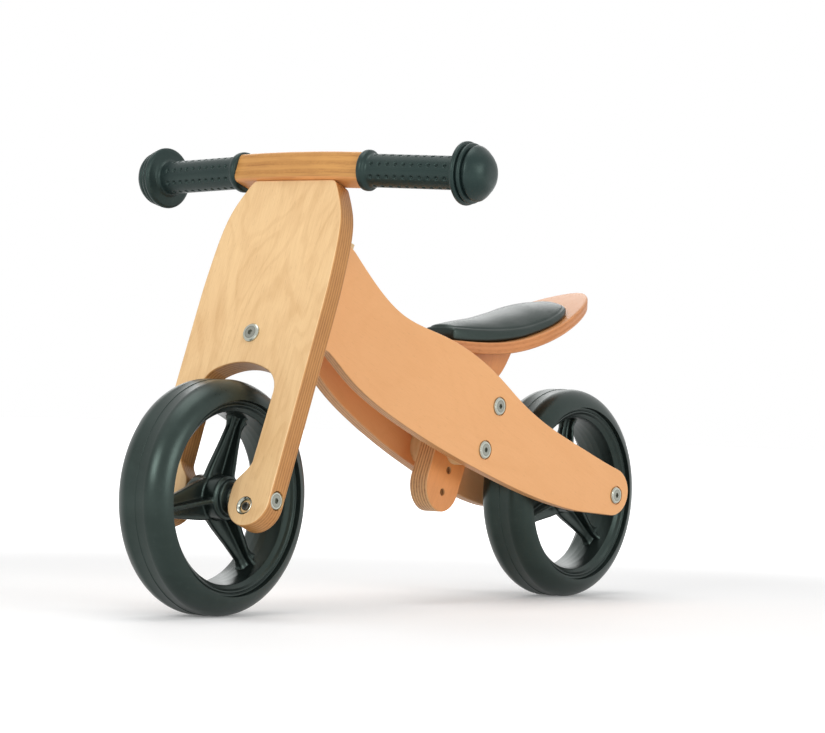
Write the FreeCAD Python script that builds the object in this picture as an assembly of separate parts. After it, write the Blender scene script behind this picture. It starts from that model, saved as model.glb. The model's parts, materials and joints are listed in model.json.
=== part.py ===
import FreeCAD, Part
import math
import os

# Wooden balance bike, millimetres. +X points forward to the front wheel, +Y to the rider's left and
# +Z up. The origin is on the ground, halfway between the two axles and on the middle plane.

os.makedirs("parts", exist_ok=True)
V = FreeCAD.Vector
X_AXIS = V(1, 0, 0)
Y_AXIS = V(0, 1, 0)
Z_AXIS = V(0, 0, 1)
ORIGIN = V(0, 0, 0)

# ---- wheels ----
wheelbase = 468.0
wheel_radius = 91.0
tyre_half_width = 25.2
tread_half_width = 8.2
rim_seat_radius = 70.0
rim_flange_radius = 75.4
rim_half_width = 21.5
rim_flange_width = 4.0
rim_inner_radius = 64.5
rim_face_radius = 71.0
rim_lip_radius = 66.5
rim_lip_half_width = 16.3
rim_groove_depth = 0.8
rim_groove_width = 1.0
rim_groove_radius = 73.0
fit_gap = 0.05
hub_radius = 14.0
hub_half_length = 19.0
hub_disc_radius = 20.0
hub_disc_half_width = 5.0
spoke_count = 3
spoke_hub_width = 24.0
spoke_rim_width = 15.0
spoke_half_depth = 4.0
rib_width = 6.0
rib_hub_half_depth = 13.0
rib_rim_half_depth = 7.0
front_spoke_angle = 112.0
rear_spoke_angle = 98.0

# ---- axles and the bushes that run on them ----
axle_radius = 4.0
running_gap = 0.05
bush_radius = 6.5
bush_length = 14.0
bush_flange_radius = 9.0
bush_flange_thickness = 1.5
bush_fit_gap = 0.02
side_gap = 0.3
axle_hole_gap = 0.1

# ---- fork panel: one plywood plate, leaning back by the rake ----
rake = 21.0
panel_thickness = 18.0
panel_half_width = 63.0
panel_top = 264.0
panel_top_half_width = 41.5
panel_shoulder = 150.0
panel_corner = 4.5
leg_inner = 36.0
arch_clearance = 17.5
arch_spring_clearance = 10.4
arch_spring_half_width = 28.0
foot_radius = 20.0
foot_drop = 4.0
panel_edge_round = 1.2
axle_recess_radius = 7.6
axle_recess_depth = 3.0

# ---- handlebar ----
bar_size = 24.0
bar_corner = 5.0
bar_bend_radius = 650.0
bar_forward = 2.0
bar_middle_half_width = 60.5
bar_tenon_radius = 10.0
bar_tenon_length = 97.0

# ---- grips, measured along the grip from its inner face ----
grip_fit_gap = 0.05
grip_collar_radius = 16.3
grip_collar_length = 6.0
grip_barrel_radius = 13.2
grip_barrel_end = 89.0
grip_flange_radius = 24.8
grip_flange_end = 94.0
grip_ring_radius = 23.4
grip_groove_radius = 20.6
grip_groove_width = 1.0
grip_ring_end = 98.0
grip_cone_radius = 21.8
grip_cone_end = 110.0
grip_tip_radius = 15.0
grip_length = 115.0

# ---- steering head ----
steering_setback = 49.0
head_front_setback = 30.0
head_rear_setback = 68.0
head_bottom = 148.0
head_top = 242.0
kingpin_radius = 4.0
kingpin_bush_radius = 5.5
kingpin_bush_length = 16.0
kingpin_bush_flange_radius = 8.5
kingpin_bush_flange_thickness = 2.0
kingpin_washer_radius = 8.0
kingpin_washer_thickness = 1.6
kingpin_head_radius = 6.5
kingpin_head_height = 5.0
kingpin_nut_radius = 7.5
kingpin_nut_height = 7.0
bracket_thickness = 3.0
bracket_half_width = 16.0
bracket_lower_leg = 25.0
bracket_upper_leg = 15.0
bracket_overhang = 10.0

# ---- side plates: flat boards that open into a V towards the rear wheel ----
plate_thickness = 10.0
plate_splay = 6.82
plate_rear_half_width = 60.0
plate_edge_round = 1.0
plate_tail_radius = 20.5
plate_front_corner = 9.0
# Each point of the outlines: its share of the wheelbase from the rear axle, and its height over the axles.
plate_upper_line = ((0.03846, 29.8), (0.08974, 39.4), (0.17521, 55.8), (0.26068, 77.6), (0.32479, 99),
                    (0.38889, 116.6), (0.47436, 132), (0.57692, 147.4), (0.66667, 180))
plate_lower_line = ((0.7094, 96.5), (0.58547, 61.9), (0.45726, 36), (0.32906, 14.2), (0.20085, -4.2),
                    (0.1047, -13.4))

# ---- seat post: a plank with a row of holes for the seat heights ----
post_tilt = 24.0
post_bolt_x = -81.5
post_bolt_rise = 75.0
post_hole_pitch = 20.0
post_hole_count = 5
post_hole_radius = 3.2
post_thickness = 18.0
post_half_width = 22.75
post_centre_offset = 2.0
post_round_centre = 74.0
post_flare_start = 22.0
post_flare_half_width = 40.0
post_flare_top = 90.0
post_edge_round = 1.2
spacer_radius = 13.5

# ---- seat ----
seat_thickness = 10.0
seat_front = -45.0
seat_rear = -256.0
seat_nose_half_width = 17.5
seat_half_width = 43.5
seat_widest = -160.0
seat_edge_round = 2.0
seat_curve_samples = 12
pad_inset = 3.0
pad_rear = -208.0
pad_gap = 0.3
seat_tail_half_width = 27.0
seat_tail_length = 27.0
seat_tip_half_width = 10.0
seat_tip_length = 4.5
pad_tail_half_width = 33.5
pad_tail_length = 18.0
pad_tip_half_width = 17.0
pad_tip_length = 4.5
# Points of the seat's and the pad's top lines: place along the bike and height over the axles.
seat_top_line = ((seat_front, 129.3), (-75, 128.1), (-98, 128.9), (-130, 134.8), (-165, 145.6),
                 (-205, 160.6), (-240, 172.6), (-266, 179.5))
pad_top_line = ((seat_front, 140.5), (-85, 146.5), (-127, 153.5), (-165, 160.5), (-197, 166),
                (pad_rear - 3, 169))

# ---- fasteners ----
bolt_radius = 3.0
bolt_hole_gap = 0.4
bolt_head_radius = 7.5
bolt_head_thickness = 2.2
bolt_head_edge = 0.9
bolt_socket_width = 4.0
bolt_socket_depth = 1.6
spot_face_radius = 8.2
spot_face_depth = 1.0
sleeve_radius = 4.4
sleeve_hole_gap = 0.1
sleeve_bore_gap = 0.05
sleeve_length = 14.0
axle_head_radius = 7.2
axle_head_thickness = 2.4
axle_sleeve_radius = 5.6
axle_sleeve_length = 24.0
panel_bolt_height = 133.0
panel_nut_width = 10.0
panel_nut_height = 5.0
wood_screw_radius = 2.0
wood_screw_head_radius = 4.0
wood_screw_head_height = 2.2
wood_screw_length = 14.0
bar_screw_radius = 2.5
bar_screw_head_radius = 4.5
bar_screw_head_height = 3.5
bar_screw_length = 58.0
bar_screw_spacing = 56.0
seat_screw_length = 38.0
foot_screw_half_width = 40.0
foot_screw_drop = 8.0
foot_screw_head_radius = 6.0
foot_screw_head_thickness = 1.8
foot_screw_recess_radius = 7.3
foot_screw_recess_depth = 3.0
foot_screw_radius = 2.0
foot_screw_length = 10.0
foot_slot_width = 1.4
foot_slot_depth = 0.9

# ---- worked out from the sizes above ----
front_axle = V(wheelbase / 2, 0, wheel_radius)
rear_axle = V(-wheelbase / 2, 0, wheel_radius)
hub_face = hub_half_length + bush_flange_thickness
foot_inner = panel_half_width - 2 * foot_radius
foot_centre = panel_half_width - foot_radius
half_thickness = panel_thickness / 2
bar_centre_height = panel_top + bar_size / 2
bar_end_angle = math.degrees(math.asin(bar_middle_half_width / bar_bend_radius))
arch_top = wheel_radius + arch_clearance
arch_spring = wheel_radius + arch_spring_clearance
post_bolt_z = wheel_radius + post_bolt_rise
splay_cos = math.cos(math.radians(plate_splay))
splay_tan = math.tan(math.radians(plate_splay))
REACH = 400.0


def node(name, shape):
    """Write one sub-part, after a check that its solids are sound."""
    if not shape.isValid():
        raise ValueError(name + " is not a valid shape")
    if not shape.Solids:
        raise ValueError(name + " holds no solid")
    shape.exportStep("parts/" + name + ".step")
    print(name, len(shape.Solids), "solids", round(shape.Volume))


def group(shapes):
    return Part.makeCompound(shapes)


def moved(shape, offset):
    result = shape.copy()
    result.translate(offset)
    return result


def turned(shape, centre, axis, angle):
    result = shape.copy()
    result.rotate(centre, axis, angle)
    return result


def mirrored(shape):
    """The same piece on the other side of the middle plane."""
    return shape.mirror(ORIGIN, Y_AXIS)


def rod(radius, start, direction, length):
    return Part.makeCylinder(radius, length, start, direction)


def cross_rod(radius, x, z, y_start, y_end):
    """A cylinder across the bike, from one side distance to another."""
    return rod(radius, V(x, y_start, z), Y_AXIS, y_end - y_start)


def revolved(points, centre, axis):
    """A solid of revolution from corner points that lie in a plane through the axis."""
    face = Part.Face(Part.makePolygon(points + [points[0]]))
    return face.revolve(centre, axis, 360)


def block(x_range, y_range, z_range):
    size = [high - low for low, high in (x_range, y_range, z_range)]
    return Part.makeBox(size[0], size[1], size[2], V(x_range[0], y_range[0], z_range[0]))


def curve(points, first=None, last=None):
    """A smooth edge through the points, with the end directions where they are given."""
    spline = Part.BSplineCurve()
    if first is None:
        spline.interpolate(points)
    else:
        spline.interpolate(points, InitialTangent=first, FinalTangent=last)
    return spline.toShape()


def arc(start, middle, end):
    return Part.Arc(start, middle, end).toShape()


def line(start, end):
    return Part.makeLine(start, end)


def flat_board(edges, direction, thickness):
    """A board whose outline is the closed run of edges."""
    face = Part.Face(Part.Wire(Part.__sortEdges__(edges)))
    return face.extrude(direction * thickness)


def outline_edges(shape, axis, places, tolerance=0.01):
    """The edges that lie wholly in one of the planes at the given places along X, Y or Z."""
    found = []
    for edge in shape.Edges:
        box = edge.BoundBox
        low, high = {"x": (box.XMin, box.XMax), "y": (box.YMin, box.YMax), "z": (box.ZMin, box.ZMax)}[axis]
        if any(abs(low - place) < tolerance and abs(high - place) < tolerance for place in places):
            found.append(edge)
    return found


def hexagon_socket(radius, depth, top, direction):
    """The hexagonal hole of a socket head, cut down from its top."""
    corners = [V(radius * math.cos(k * math.pi / 3), radius * math.sin(k * math.pi / 3),
                 0) for k in range(7)]
    prism = Part.Face(Part.makePolygon(corners)).extrude(V(0, 0, -depth))
    return along(prism, top, direction)


def hexagon_nut(across_flats, height, base, direction, bore):
    radius = across_flats / math.sqrt(3)
    corners = [V(radius * math.cos(k * math.pi / 3), radius * math.sin(k * math.pi / 3),
                 0) for k in range(7)]
    nut = Part.Face(Part.makePolygon(corners)).extrude(V(0, 0, height))
    nut = nut.cut(rod(bore, V(0, 0, -1), Z_AXIS, height + 2))
    return along(nut, base, direction)


def along(shape, place, direction):
    """Turn a shape built along +Z to the given direction and put its origin at the place."""
    result = shape.copy()
    result.Placement = FreeCAD.Placement(place, FreeCAD.Rotation(Z_AXIS, direction))
    return result


def domed_head(radius, thickness, edge, socket_width, socket_depth):
    """A flat furniture head on the plane z = 0, with a chamfered rim and a hexagon socket."""
    profile = [V(0, 0, 0), V(radius, 0, 0), V(radius, 0, thickness - edge), V(radius - edge, 0, thickness),
               V(0, 0, thickness)]
    head = revolved(profile, ORIGIN, Z_AXIS)
    socket = hexagon_socket(socket_width / math.sqrt(3), socket_depth, V(0, 0, thickness), Z_AXIS)
    return head.cut(socket)


def furniture_bolt(head_radius, head_thickness, shank_radius, shank_length, place, direction):
    """A bolt whose head rests on the place, with its shank running against the direction."""
    head = domed_head(head_radius, head_thickness, bolt_head_edge, bolt_socket_width, bolt_socket_depth)
    shank = rod(shank_radius, V(0, 0, -shank_length), Z_AXIS, shank_length)
    return along(head.fuse(shank).removeSplitter(), place, direction)


def sleeve_nut(head_radius, head_thickness, outer_radius, bore_radius, length, place, direction):
    """The matching nut: the same head on a sleeve that takes the end of the bolt."""
    head = domed_head(head_radius, head_thickness, bolt_head_edge, bolt_socket_width, bolt_socket_depth)
    sleeve = rod(outer_radius, V(0, 0, -length), Z_AXIS, length)
    bore = rod(bore_radius, V(0, 0, -length), Z_AXIS, length - bolt_socket_depth)
    return along(head.fuse(sleeve).cut(bore).removeSplitter(), place, direction)


def countersunk_screw(head_radius, head_height, shank_radius, length, place, direction):
    """A wood screw whose flat head is level with the place and points along the direction."""
    profile = [V(0, 0, 0), V(head_radius, 0, 0), V(shank_radius, 0, -head_height),
               V(shank_radius, 0, shank_radius - length), V(0, 0, -length)]
    screw = revolved(profile, ORIGIN, Z_AXIS)
    socket = hexagon_socket(shank_radius, head_height / 2, ORIGIN, Z_AXIS)
    return along(screw.cut(socket), place, direction)


def screw_hole(head_radius, head_height, shank_radius, length, place, direction):
    """The clearance that a countersunk screw needs, in one tool."""
    gap = fit_gap
    hole = shank_radius + gap
    end = -length - gap
    profile = [V(0, 0, gap), V(head_radius + gap, 0, gap), V(head_radius + gap, 0, 0),
               V(hole, 0, -head_height), V(hole, 0, end), V(0, 0, end)]
    return along(revolved(profile, ORIGIN, Z_AXIS), place, direction)


# ---- wheels ----

def wheel_ring(profile, centre):
    """Revolve a half section given as (across, radius) pairs about an axle."""
    points = [V(0, across, radius) for across, radius in profile]
    return moved(revolved(points, ORIGIN, Y_AXIS), centre)


def tyre(centre):
    """A solid tyre with a flat tread band, round shoulders and a base that sits inside the rim."""
    seat = rim_seat_radius + fit_gap
    well = rim_half_width - rim_flange_width - fit_gap
    lip = rim_flange_radius + fit_gap
    shoulder = tyre_half_width - tread_half_width
    shoulder_centre = wheel_radius - shoulder
    lip_across = tread_half_width + math.sqrt(shoulder ** 2 - (lip - shoulder_centre) ** 2)
    diagonal = shoulder * math.sqrt(0.5)
    lip_edge = V(0, lip_across, lip)
    shoulder_middle = V(0, tread_half_width + diagonal, shoulder_centre + diagonal)
    tread_edge = V(0, tread_half_width, wheel_radius)
    side = [line(V(0, well, seat), V(0, well, lip)),
            line(V(0, well, lip), lip_edge),
            arc(lip_edge, shoulder_middle, tread_edge)]
    other_side = [edge.mirror(ORIGIN, Y_AXIS) for edge in side]
    base = line(V(0, -well, seat), V(0, well, seat))
    tread = line(tread_edge, V(0, -tread_half_width, wheel_radius))
    face = Part.Face(Part.Wire(Part.__sortEdges__([base, tread] + side + other_side)))
    return moved(face.revolve(ORIGIN, Y_AXIS, 360), centre)


def rim_ring():
    """The rim about the Y axis: a tyre seat between two flanges, with a groove round each face."""
    well = rim_half_width - rim_flange_width
    groove_low = rim_groove_radius - rim_groove_width / 2
    groove_high = rim_groove_radius + rim_groove_width / 2
    groove_floor = rim_half_width - rim_groove_depth
    half = [(0, rim_seat_radius), (well, rim_seat_radius), (well, rim_flange_radius),
            (rim_half_width, rim_flange_radius), (rim_half_width, groove_high), (groove_floor, groove_high),
            (groove_floor, groove_low), (rim_half_width, groove_low), (rim_half_width, rim_face_radius),
            (rim_lip_half_width, rim_lip_radius), (0, rim_inner_radius)]
    other = [(-across, radius) for across, radius in reversed(half[1:-1])]
    return wheel_ring(half + other, ORIGIN)


def spoke(angle):
    """One tapered spoke with a deeper rib along its middle, pointing up before it is turned."""
    inner = hub_radius / 2
    outer = (rim_inner_radius + rim_seat_radius) / 2
    web = [V(-spoke_hub_width / 2, -spoke_half_depth, inner),
           V(spoke_hub_width / 2, -spoke_half_depth, inner),
           V(spoke_rim_width / 2, -spoke_half_depth, outer), V(-spoke_rim_width / 2, -spoke_half_depth,
                                                               outer)]
    plate = Part.Face(Part.makePolygon(web + [web[0]])).extrude(V(0, 2 * spoke_half_depth, 0))
    rib = [V(-rib_width / 2, -rib_hub_half_depth, inner), V(-rib_width / 2, rib_hub_half_depth, inner),
           V(-rib_width / 2, rib_rim_half_depth, outer), V(-rib_width / 2, -rib_rim_half_depth, outer)]
    ridge = Part.Face(Part.makePolygon(rib + [rib[0]])).extrude(V(rib_width, 0, 0))
    # A turn about -Y takes +Z towards +X by 90 degrees less the angle from +X.
    return turned(plate.fuse(ridge), ORIGIN, Y_AXIS, 90 - angle)


def rim(centre, first_angle):
    body = rim_ring()
    for k in range(spoke_count):
        body = body.fuse(spoke(first_angle + k * 360 / spoke_count))
    body = body.fuse(cross_rod(hub_radius, 0, 0, -hub_half_length, hub_half_length))
    body = body.fuse(cross_rod(hub_disc_radius, 0, 0, -hub_disc_half_width, hub_disc_half_width))
    body = body.cut(cross_rod(bush_radius + bush_fit_gap, 0, 0, -hub_half_length, hub_half_length))
    return moved(body.removeSplitter(), centre)


def wheel_bush(centre):
    """A flanged bush pressed into the left end of a hub."""
    barrel = cross_rod(bush_radius, 0, 0, hub_half_length - bush_length, hub_half_length)
    flange = cross_rod(bush_flange_radius, 0, 0, hub_half_length, hub_face)
    bore = cross_rod(axle_radius + running_gap, 0, 0, 0, hub_face)
    return moved(barrel.fuse(flange).cut(bore).removeSplitter(), centre)


def wheel_bushes(centre):
    left = wheel_bush(centre)
    return group([left, mirrored(left)])


def axle_bolt(centre, half_length, sleeve):
    """The axle: a long bolt from the left, ending inside its sleeve nut on the right."""
    end_gap = 2.0
    shank = 2 * half_length - bolt_socket_depth - end_gap
    bolt = furniture_bolt(axle_head_radius, axle_head_thickness, axle_radius, shank,
                          centre + V(0, half_length, 0), Y_AXIS)
    nut = sleeve_nut(axle_head_radius, axle_head_thickness, axle_sleeve_radius,
                     axle_radius + sleeve_bore_gap,
                     sleeve, centre - V(0, half_length, 0), V(0, -1, 0))
    return bolt, nut


# ---- fork side: built upright about the front axle, then leaned back ----

def on_fork(shape):
    """Lean a piece back by the rake and put it on the front axle."""
    return moved(turned(shape, ORIGIN, Y_AXIS, -rake), front_axle)


def panel_outline():
    """Right-hand half of the panel's outline, from the top middle round to the arch middle."""
    side = panel_half_width
    narrow = panel_top_half_width
    rise = panel_top - panel_shoulder
    corner_start = V(0, narrow - panel_corner, panel_top)
    corner_end = V(0, narrow + 0.5 * panel_corner, panel_top - panel_corner)
    shoulder_start = V(0, 0.5, -0.87)
    taper = side - narrow
    shoulder = [corner_end,
                V(0, narrow + 0.62 * taper, panel_shoulder + 0.77 * rise),
                V(0, narrow + 0.85 * taper, panel_shoulder + 0.58 * rise),
                V(0, narrow + 0.96 * taper, panel_shoulder + 0.32 * rise),
                V(0, side, panel_shoulder)]
    down = V(0, 0, -1)
    foot_bottom = V(0, foot_centre, -foot_drop - foot_radius)
    foot_outer = V(0, side, -foot_drop)
    foot_inside = V(0, foot_inner, -foot_drop)
    flare_start = V(0, foot_inner, foot_drop)
    flare_end = V(0, leg_inner, foot_drop + 1.4 * foot_radius)
    step = leg_inner - foot_inner
    flare = [flare_start,
             V(0, foot_inner + 0.16 * step, foot_drop + 0.42 * foot_radius),
             V(0, foot_inner + 0.55 * step, foot_drop + 0.72 * foot_radius),
             V(0, foot_inner + 0.92 * step, foot_drop + 1.05 * foot_radius),
             flare_end]
    leg_top = V(0, leg_inner + 1, arch_spring - 19)
    spring = V(0, arch_spring_half_width, arch_spring)
    bend = V(0, leg_inner - 0.7, arch_spring - 8.6)
    return [line(V(0, 0, panel_top), corner_start),
            curve([corner_start, corner_end], Y_AXIS, shoulder_start),
            curve(shoulder, shoulder_start, down),
            line(V(0, side, panel_shoulder), foot_outer),
            arc(foot_outer, foot_bottom, foot_inside),
            line(foot_inside, flare_start),
            curve(flare, V(0, 0, 1), V(0, 0, 1)),
            line(flare_end, leg_top),
            arc(leg_top, bend, spring)]


def fork_panel():
    half = panel_outline()
    other = [edge.mirror(ORIGIN, Y_AXIS) for edge in half]
    arch = arc(V(0, arch_spring_half_width, arch_spring), V(0, 0, arch_top),
               V(0, -arch_spring_half_width, arch_spring))
    panel = flat_board(half + other + [arch], X_AXIS, panel_thickness)
    panel = moved(panel, V(-half_thickness, 0, 0))
    rims = outline_edges(panel, "x", (-half_thickness, half_thickness))
    panel = panel.makeFillet(panel_edge_round, rims)
    for side in (1, -1):
        outer = V(0, side * panel_half_width, 0)
        inward = V(0, -side, 0)
        recess = rod(axle_recess_radius, outer, inward, axle_recess_depth)
        hole = axle_radius if side > 0 else axle_sleeve_radius
        bore = rod(hole + axle_hole_gap, outer, inward, 2 * foot_radius + 1)
        pocket_mouth = V(half_thickness, side * foot_screw_half_width, -foot_screw_drop)
        pocket = rod(foot_screw_recess_radius, pocket_mouth, V(-1, 0, 0), foot_screw_recess_depth)
        pilot = rod(foot_screw_radius + bolt_hole_gap / 4, pocket_mouth, V(-1, 0, 0),
                    foot_screw_recess_depth + foot_screw_length)
        panel = panel.cut(recess).cut(bore).cut(pocket).cut(pilot)
    bolt_hole = rod(bolt_radius + bolt_hole_gap, V(-half_thickness, 0, panel_bolt_height), X_AXIS,
                    panel_thickness)
    panel = panel.cut(bolt_hole)
    for tool in bar_screw_tools() + bracket_screw_tools():
        panel = panel.cut(tool)
    return panel


def foot_screw(side):
    """A slotted screw sunk in the front face of one foot."""
    seat = V(half_thickness - foot_screw_recess_depth, side * foot_screw_half_width, -foot_screw_drop)
    head = rod(foot_screw_head_radius, seat, X_AXIS, foot_screw_head_thickness)
    shank = rod(foot_screw_radius, seat, V(-1, 0, 0), foot_screw_length)
    slot_floor = seat.x + foot_screw_head_thickness - foot_slot_depth
    slot = block((slot_floor, slot_floor + foot_screw_head_thickness),
                 (seat.y - foot_screw_head_radius, seat.y + foot_screw_head_radius),
                 (seat.z - foot_slot_width / 2, seat.z + foot_slot_width / 2))
    return head.fuse(shank).cut(slot).removeSplitter()


def square_section(size, corner, centre):
    """A rounded square in the plane y = 0."""
    half = size / 2
    flat = half - corner
    diagonal = flat + corner * math.sqrt(0.5)
    edges = []
    for k in range(4):
        quarter = [line(V(-flat, 0, half), V(flat, 0, half)),
                   arc(V(flat, 0, half), V(diagonal, 0, diagonal), V(half, 0, flat))]
        edges += [turned(edge, ORIGIN, Y_AXIS, 90 * k) for edge in quarter]
    face = Part.Face(Part.Wire(Part.__sortEdges__(edges)))
    return moved(face, centre)


def grip_place(shape):
    """Put a piece built along +Y on the left end of the bar, in line with the bend."""
    bend_centre = V(bar_forward - bar_bend_radius, 0, bar_centre_height)
    return turned(moved(shape, V(bar_forward, 0, bar_centre_height)), bend_centre, Z_AXIS, bar_end_angle)


def handlebar():
    """A bent bar of square section whose two ends are turned down for the grips."""
    bend_centre = V(bar_forward - bar_bend_radius, 0, bar_centre_height)
    section = square_section(bar_size, bar_corner, V(bar_forward, 0, bar_centre_height))
    start = turned(section, bend_centre, Z_AXIS, -bar_end_angle)
    bar = start.revolve(bend_centre, Z_AXIS, 2 * bar_end_angle)
    tenon = grip_place(rod(bar_tenon_radius, ORIGIN, Y_AXIS, bar_tenon_length))
    bar = bar.fuse(tenon).fuse(mirrored(tenon)).removeSplitter()
    for tool in bar_screw_tools():
        bar = bar.cut(tool)
    return bar


def grip():
    """One rubber grip: a collar, a barrel and a stepped safety knob, hollow for the bar."""
    knob_edge = 1.0
    profile = [(0, 0), (0, grip_collar_radius - knob_edge), (knob_edge, grip_collar_radius),
               (grip_collar_length - knob_edge, grip_collar_radius), (grip_collar_length,
                                                                      grip_barrel_radius),
               (grip_barrel_end, grip_barrel_radius), (grip_flange_end - 4 * knob_edge,
                                                       grip_flange_radius - knob_edge),
               (grip_flange_end - 3 * knob_edge, grip_flange_radius), (grip_flange_end, grip_flange_radius),
               (grip_flange_end, grip_groove_radius), (grip_flange_end + grip_groove_width,
                                                       grip_groove_radius),
               (grip_flange_end + grip_groove_width, grip_ring_radius), (grip_ring_end, grip_ring_radius),
               (grip_ring_end, grip_groove_radius), (grip_ring_end + grip_groove_width, grip_groove_radius),
               (grip_ring_end + grip_groove_width, grip_cone_radius), (grip_cone_end, grip_tip_radius),
               (grip_length - knob_edge, 0.75 * grip_tip_radius), (grip_length,
                                                                   grip_tip_radius / 2), (grip_length, 0)]
    points = [V(radius, along_grip, 0) for along_grip, radius in profile]
    body = revolved(points, ORIGIN, Y_AXIS)
    bore = rod(bar_tenon_radius + grip_fit_gap, V(0, -1, 0), Y_AXIS, bar_tenon_length + 1 + grip_fit_gap)
    return grip_place(body.cut(bore))


def bar_screw_places():
    top = bar_centre_height + bar_size / 2
    return [V(-bar_sag(side * bar_screw_spacing / 2), side * bar_screw_spacing / 2, top) for side in (1,
                                                                                                      -1)]


def bar_sag(across):
    """How far the bent bar lies behind the panel's middle at a distance across."""
    return bar_bend_radius - bar_forward - math.sqrt(bar_bend_radius ** 2 - across ** 2)


def bar_screws():
    return group([countersunk_screw(bar_screw_head_radius, bar_screw_head_height, bar_screw_radius,
                                    bar_screw_length, place, Z_AXIS) for place in bar_screw_places()])


def bar_screw_tools():
    return [screw_hole(bar_screw_head_radius, bar_screw_head_height, bar_screw_radius,
                       bar_screw_length, place, Z_AXIS) for place in bar_screw_places()]


# ---- steering brackets and the kingpin ----
lower_ear_top = head_bottom - kingpin_bush_flange_thickness - side_gap - kingpin_washer_thickness
upper_ear_bottom = head_top + kingpin_bush_flange_thickness + side_gap + kingpin_washer_thickness
bracket_back = -half_thickness
bracket_reach = -steering_setback - bracket_overhang


def bracket(ear_base, leg_low, leg_high):
    """An angle bracket: a leg flat on the panel's back and an ear that reaches to the kingpin."""
    leg = block((bracket_back - bracket_thickness, bracket_back), (-bracket_half_width, bracket_half_width),
                (leg_low, leg_high))
    ear = block((bracket_reach + bracket_half_width, bracket_back),
                (-bracket_half_width, bracket_half_width),
                (ear_base, ear_base + bracket_thickness))
    nose = rod(bracket_half_width, V(bracket_reach + bracket_half_width, 0, ear_base), Z_AXIS,
               bracket_thickness)
    hole = rod(kingpin_radius + bolt_hole_gap / 2, V(-steering_setback, 0, ear_base - 1), Z_AXIS,
               bracket_thickness + 2)
    return leg.fuse(ear).fuse(nose).cut(hole).removeSplitter()


def lower_bracket():
    ear_base = lower_ear_top - bracket_thickness
    angle = bracket(ear_base, lower_ear_top - bracket_lower_leg, lower_ear_top)
    bolt_hole = rod(bolt_radius + bolt_hole_gap, V(bracket_back - bracket_thickness, 0,
                                                   panel_bolt_height), X_AXIS,
                    bracket_thickness)
    angle = angle.cut(bolt_hole)
    for tool in bracket_screw_tools():
        angle = angle.cut(tool)
    return angle


def upper_bracket():
    angle = bracket(upper_ear_bottom, upper_ear_bottom, upper_ear_bottom + bracket_upper_leg)
    for tool in bracket_screw_tools():
        angle = angle.cut(tool)
    return angle


def bracket_screw_places():
    back = bracket_back - bracket_thickness
    across = bracket_half_width - 1.6 * wood_screw_head_radius
    low = lower_ear_top - bracket_lower_leg + 1.6 * wood_screw_head_radius
    high = upper_ear_bottom + bracket_upper_leg - 1.5 * wood_screw_head_radius
    return [V(back, side * across, height) for height in (low, high) for side in (1, -1)]


def bracket_screws():
    return group([countersunk_screw(wood_screw_head_radius, wood_screw_head_height, wood_screw_radius,
                                    wood_screw_length, place, V(-1, 0,
                                                                0)) for place in bracket_screw_places()])


def bracket_screw_tools():
    return [screw_hole(wood_screw_head_radius, wood_screw_head_height, wood_screw_radius,
                       wood_screw_length, place, V(-1, 0, 0)) for place in bracket_screw_places()]


def panel_bolt():
    grip_length_here = panel_thickness + bracket_thickness + panel_nut_height
    return furniture_bolt(bolt_head_radius, bolt_head_thickness, bolt_radius, grip_length_here,
                          V(half_thickness, 0, panel_bolt_height), X_AXIS)


def panel_nut():
    return hexagon_nut(panel_nut_width, panel_nut_height,
                       V(bracket_back - bracket_thickness, 0, panel_bolt_height), V(-1, 0, 0),
                       bolt_radius + sleeve_bore_gap)


def kingpin():
    """The steering bolt, head uppermost, through both ears and both bushes."""
    seat = V(-steering_setback, 0, upper_ear_bottom + bracket_thickness)
    bottom = lower_ear_top - bracket_thickness - kingpin_nut_height - 1
    shank = rod(kingpin_radius, V(seat.x, 0, bottom), Z_AXIS, seat.z - bottom)
    head = rod(kingpin_head_radius, seat, Z_AXIS, kingpin_head_height)
    socket = hexagon_socket(kingpin_head_radius / 2, kingpin_head_height / 2,
                            seat + V(0, 0, kingpin_head_height), Z_AXIS)
    return head.fuse(shank).cut(socket).removeSplitter()


def kingpin_nut():
    base = V(-steering_setback, 0, lower_ear_top - bracket_thickness)
    return hexagon_nut(2 * kingpin_nut_radius * math.cos(math.pi / 6), kingpin_nut_height, base,
                       V(0, 0, -1),
                       kingpin_radius + sleeve_bore_gap)


def kingpin_washers():
    """A washer between each ear and the bush flange that turns against it."""
    washers = []
    for base in (lower_ear_top, upper_ear_bottom - kingpin_washer_thickness):
        disc = rod(kingpin_washer_radius, V(-steering_setback, 0, base), Z_AXIS, kingpin_washer_thickness)
        hole = rod(kingpin_radius + sleeve_bore_gap, V(-steering_setback, 0, base), Z_AXIS,
                   kingpin_washer_thickness)
        washers.append(disc.cut(hole))
    return group(washers)


def kingpin_bush(face, inward):
    """A flanged bush pressed into one end of the head block; the flange lies outside its face."""
    place = V(-steering_setback, 0, face)
    barrel = rod(kingpin_bush_radius, place, V(0, 0, inward), kingpin_bush_length)
    flange = rod(kingpin_bush_flange_radius, place, V(0, 0, -inward), kingpin_bush_flange_thickness)
    bore = rod(kingpin_radius + running_gap, place - V(0, 0, REACH / 2), Z_AXIS, REACH)
    return barrel.fuse(flange).cut(bore).removeSplitter()


# ---- frame ----

def on_left_plate(shape):
    """Carry a piece from the plate's own plane to the left side of the bike."""
    return moved(turned(shape, ORIGIN, Z_AXIS, -plate_splay), V(rear_axle.x, plate_rear_half_width, 0))


def plate_outer(x):
    """How far from the middle plane the outer face of a plate lies."""
    return plate_rear_half_width - (x - rear_axle.x) * splay_tan


def plate_point(x, z):
    """A point of the plate's outline, from where it lies along the bike to its own plane."""
    return V((x - rear_axle.x) / splay_cos, 0, z)


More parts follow.
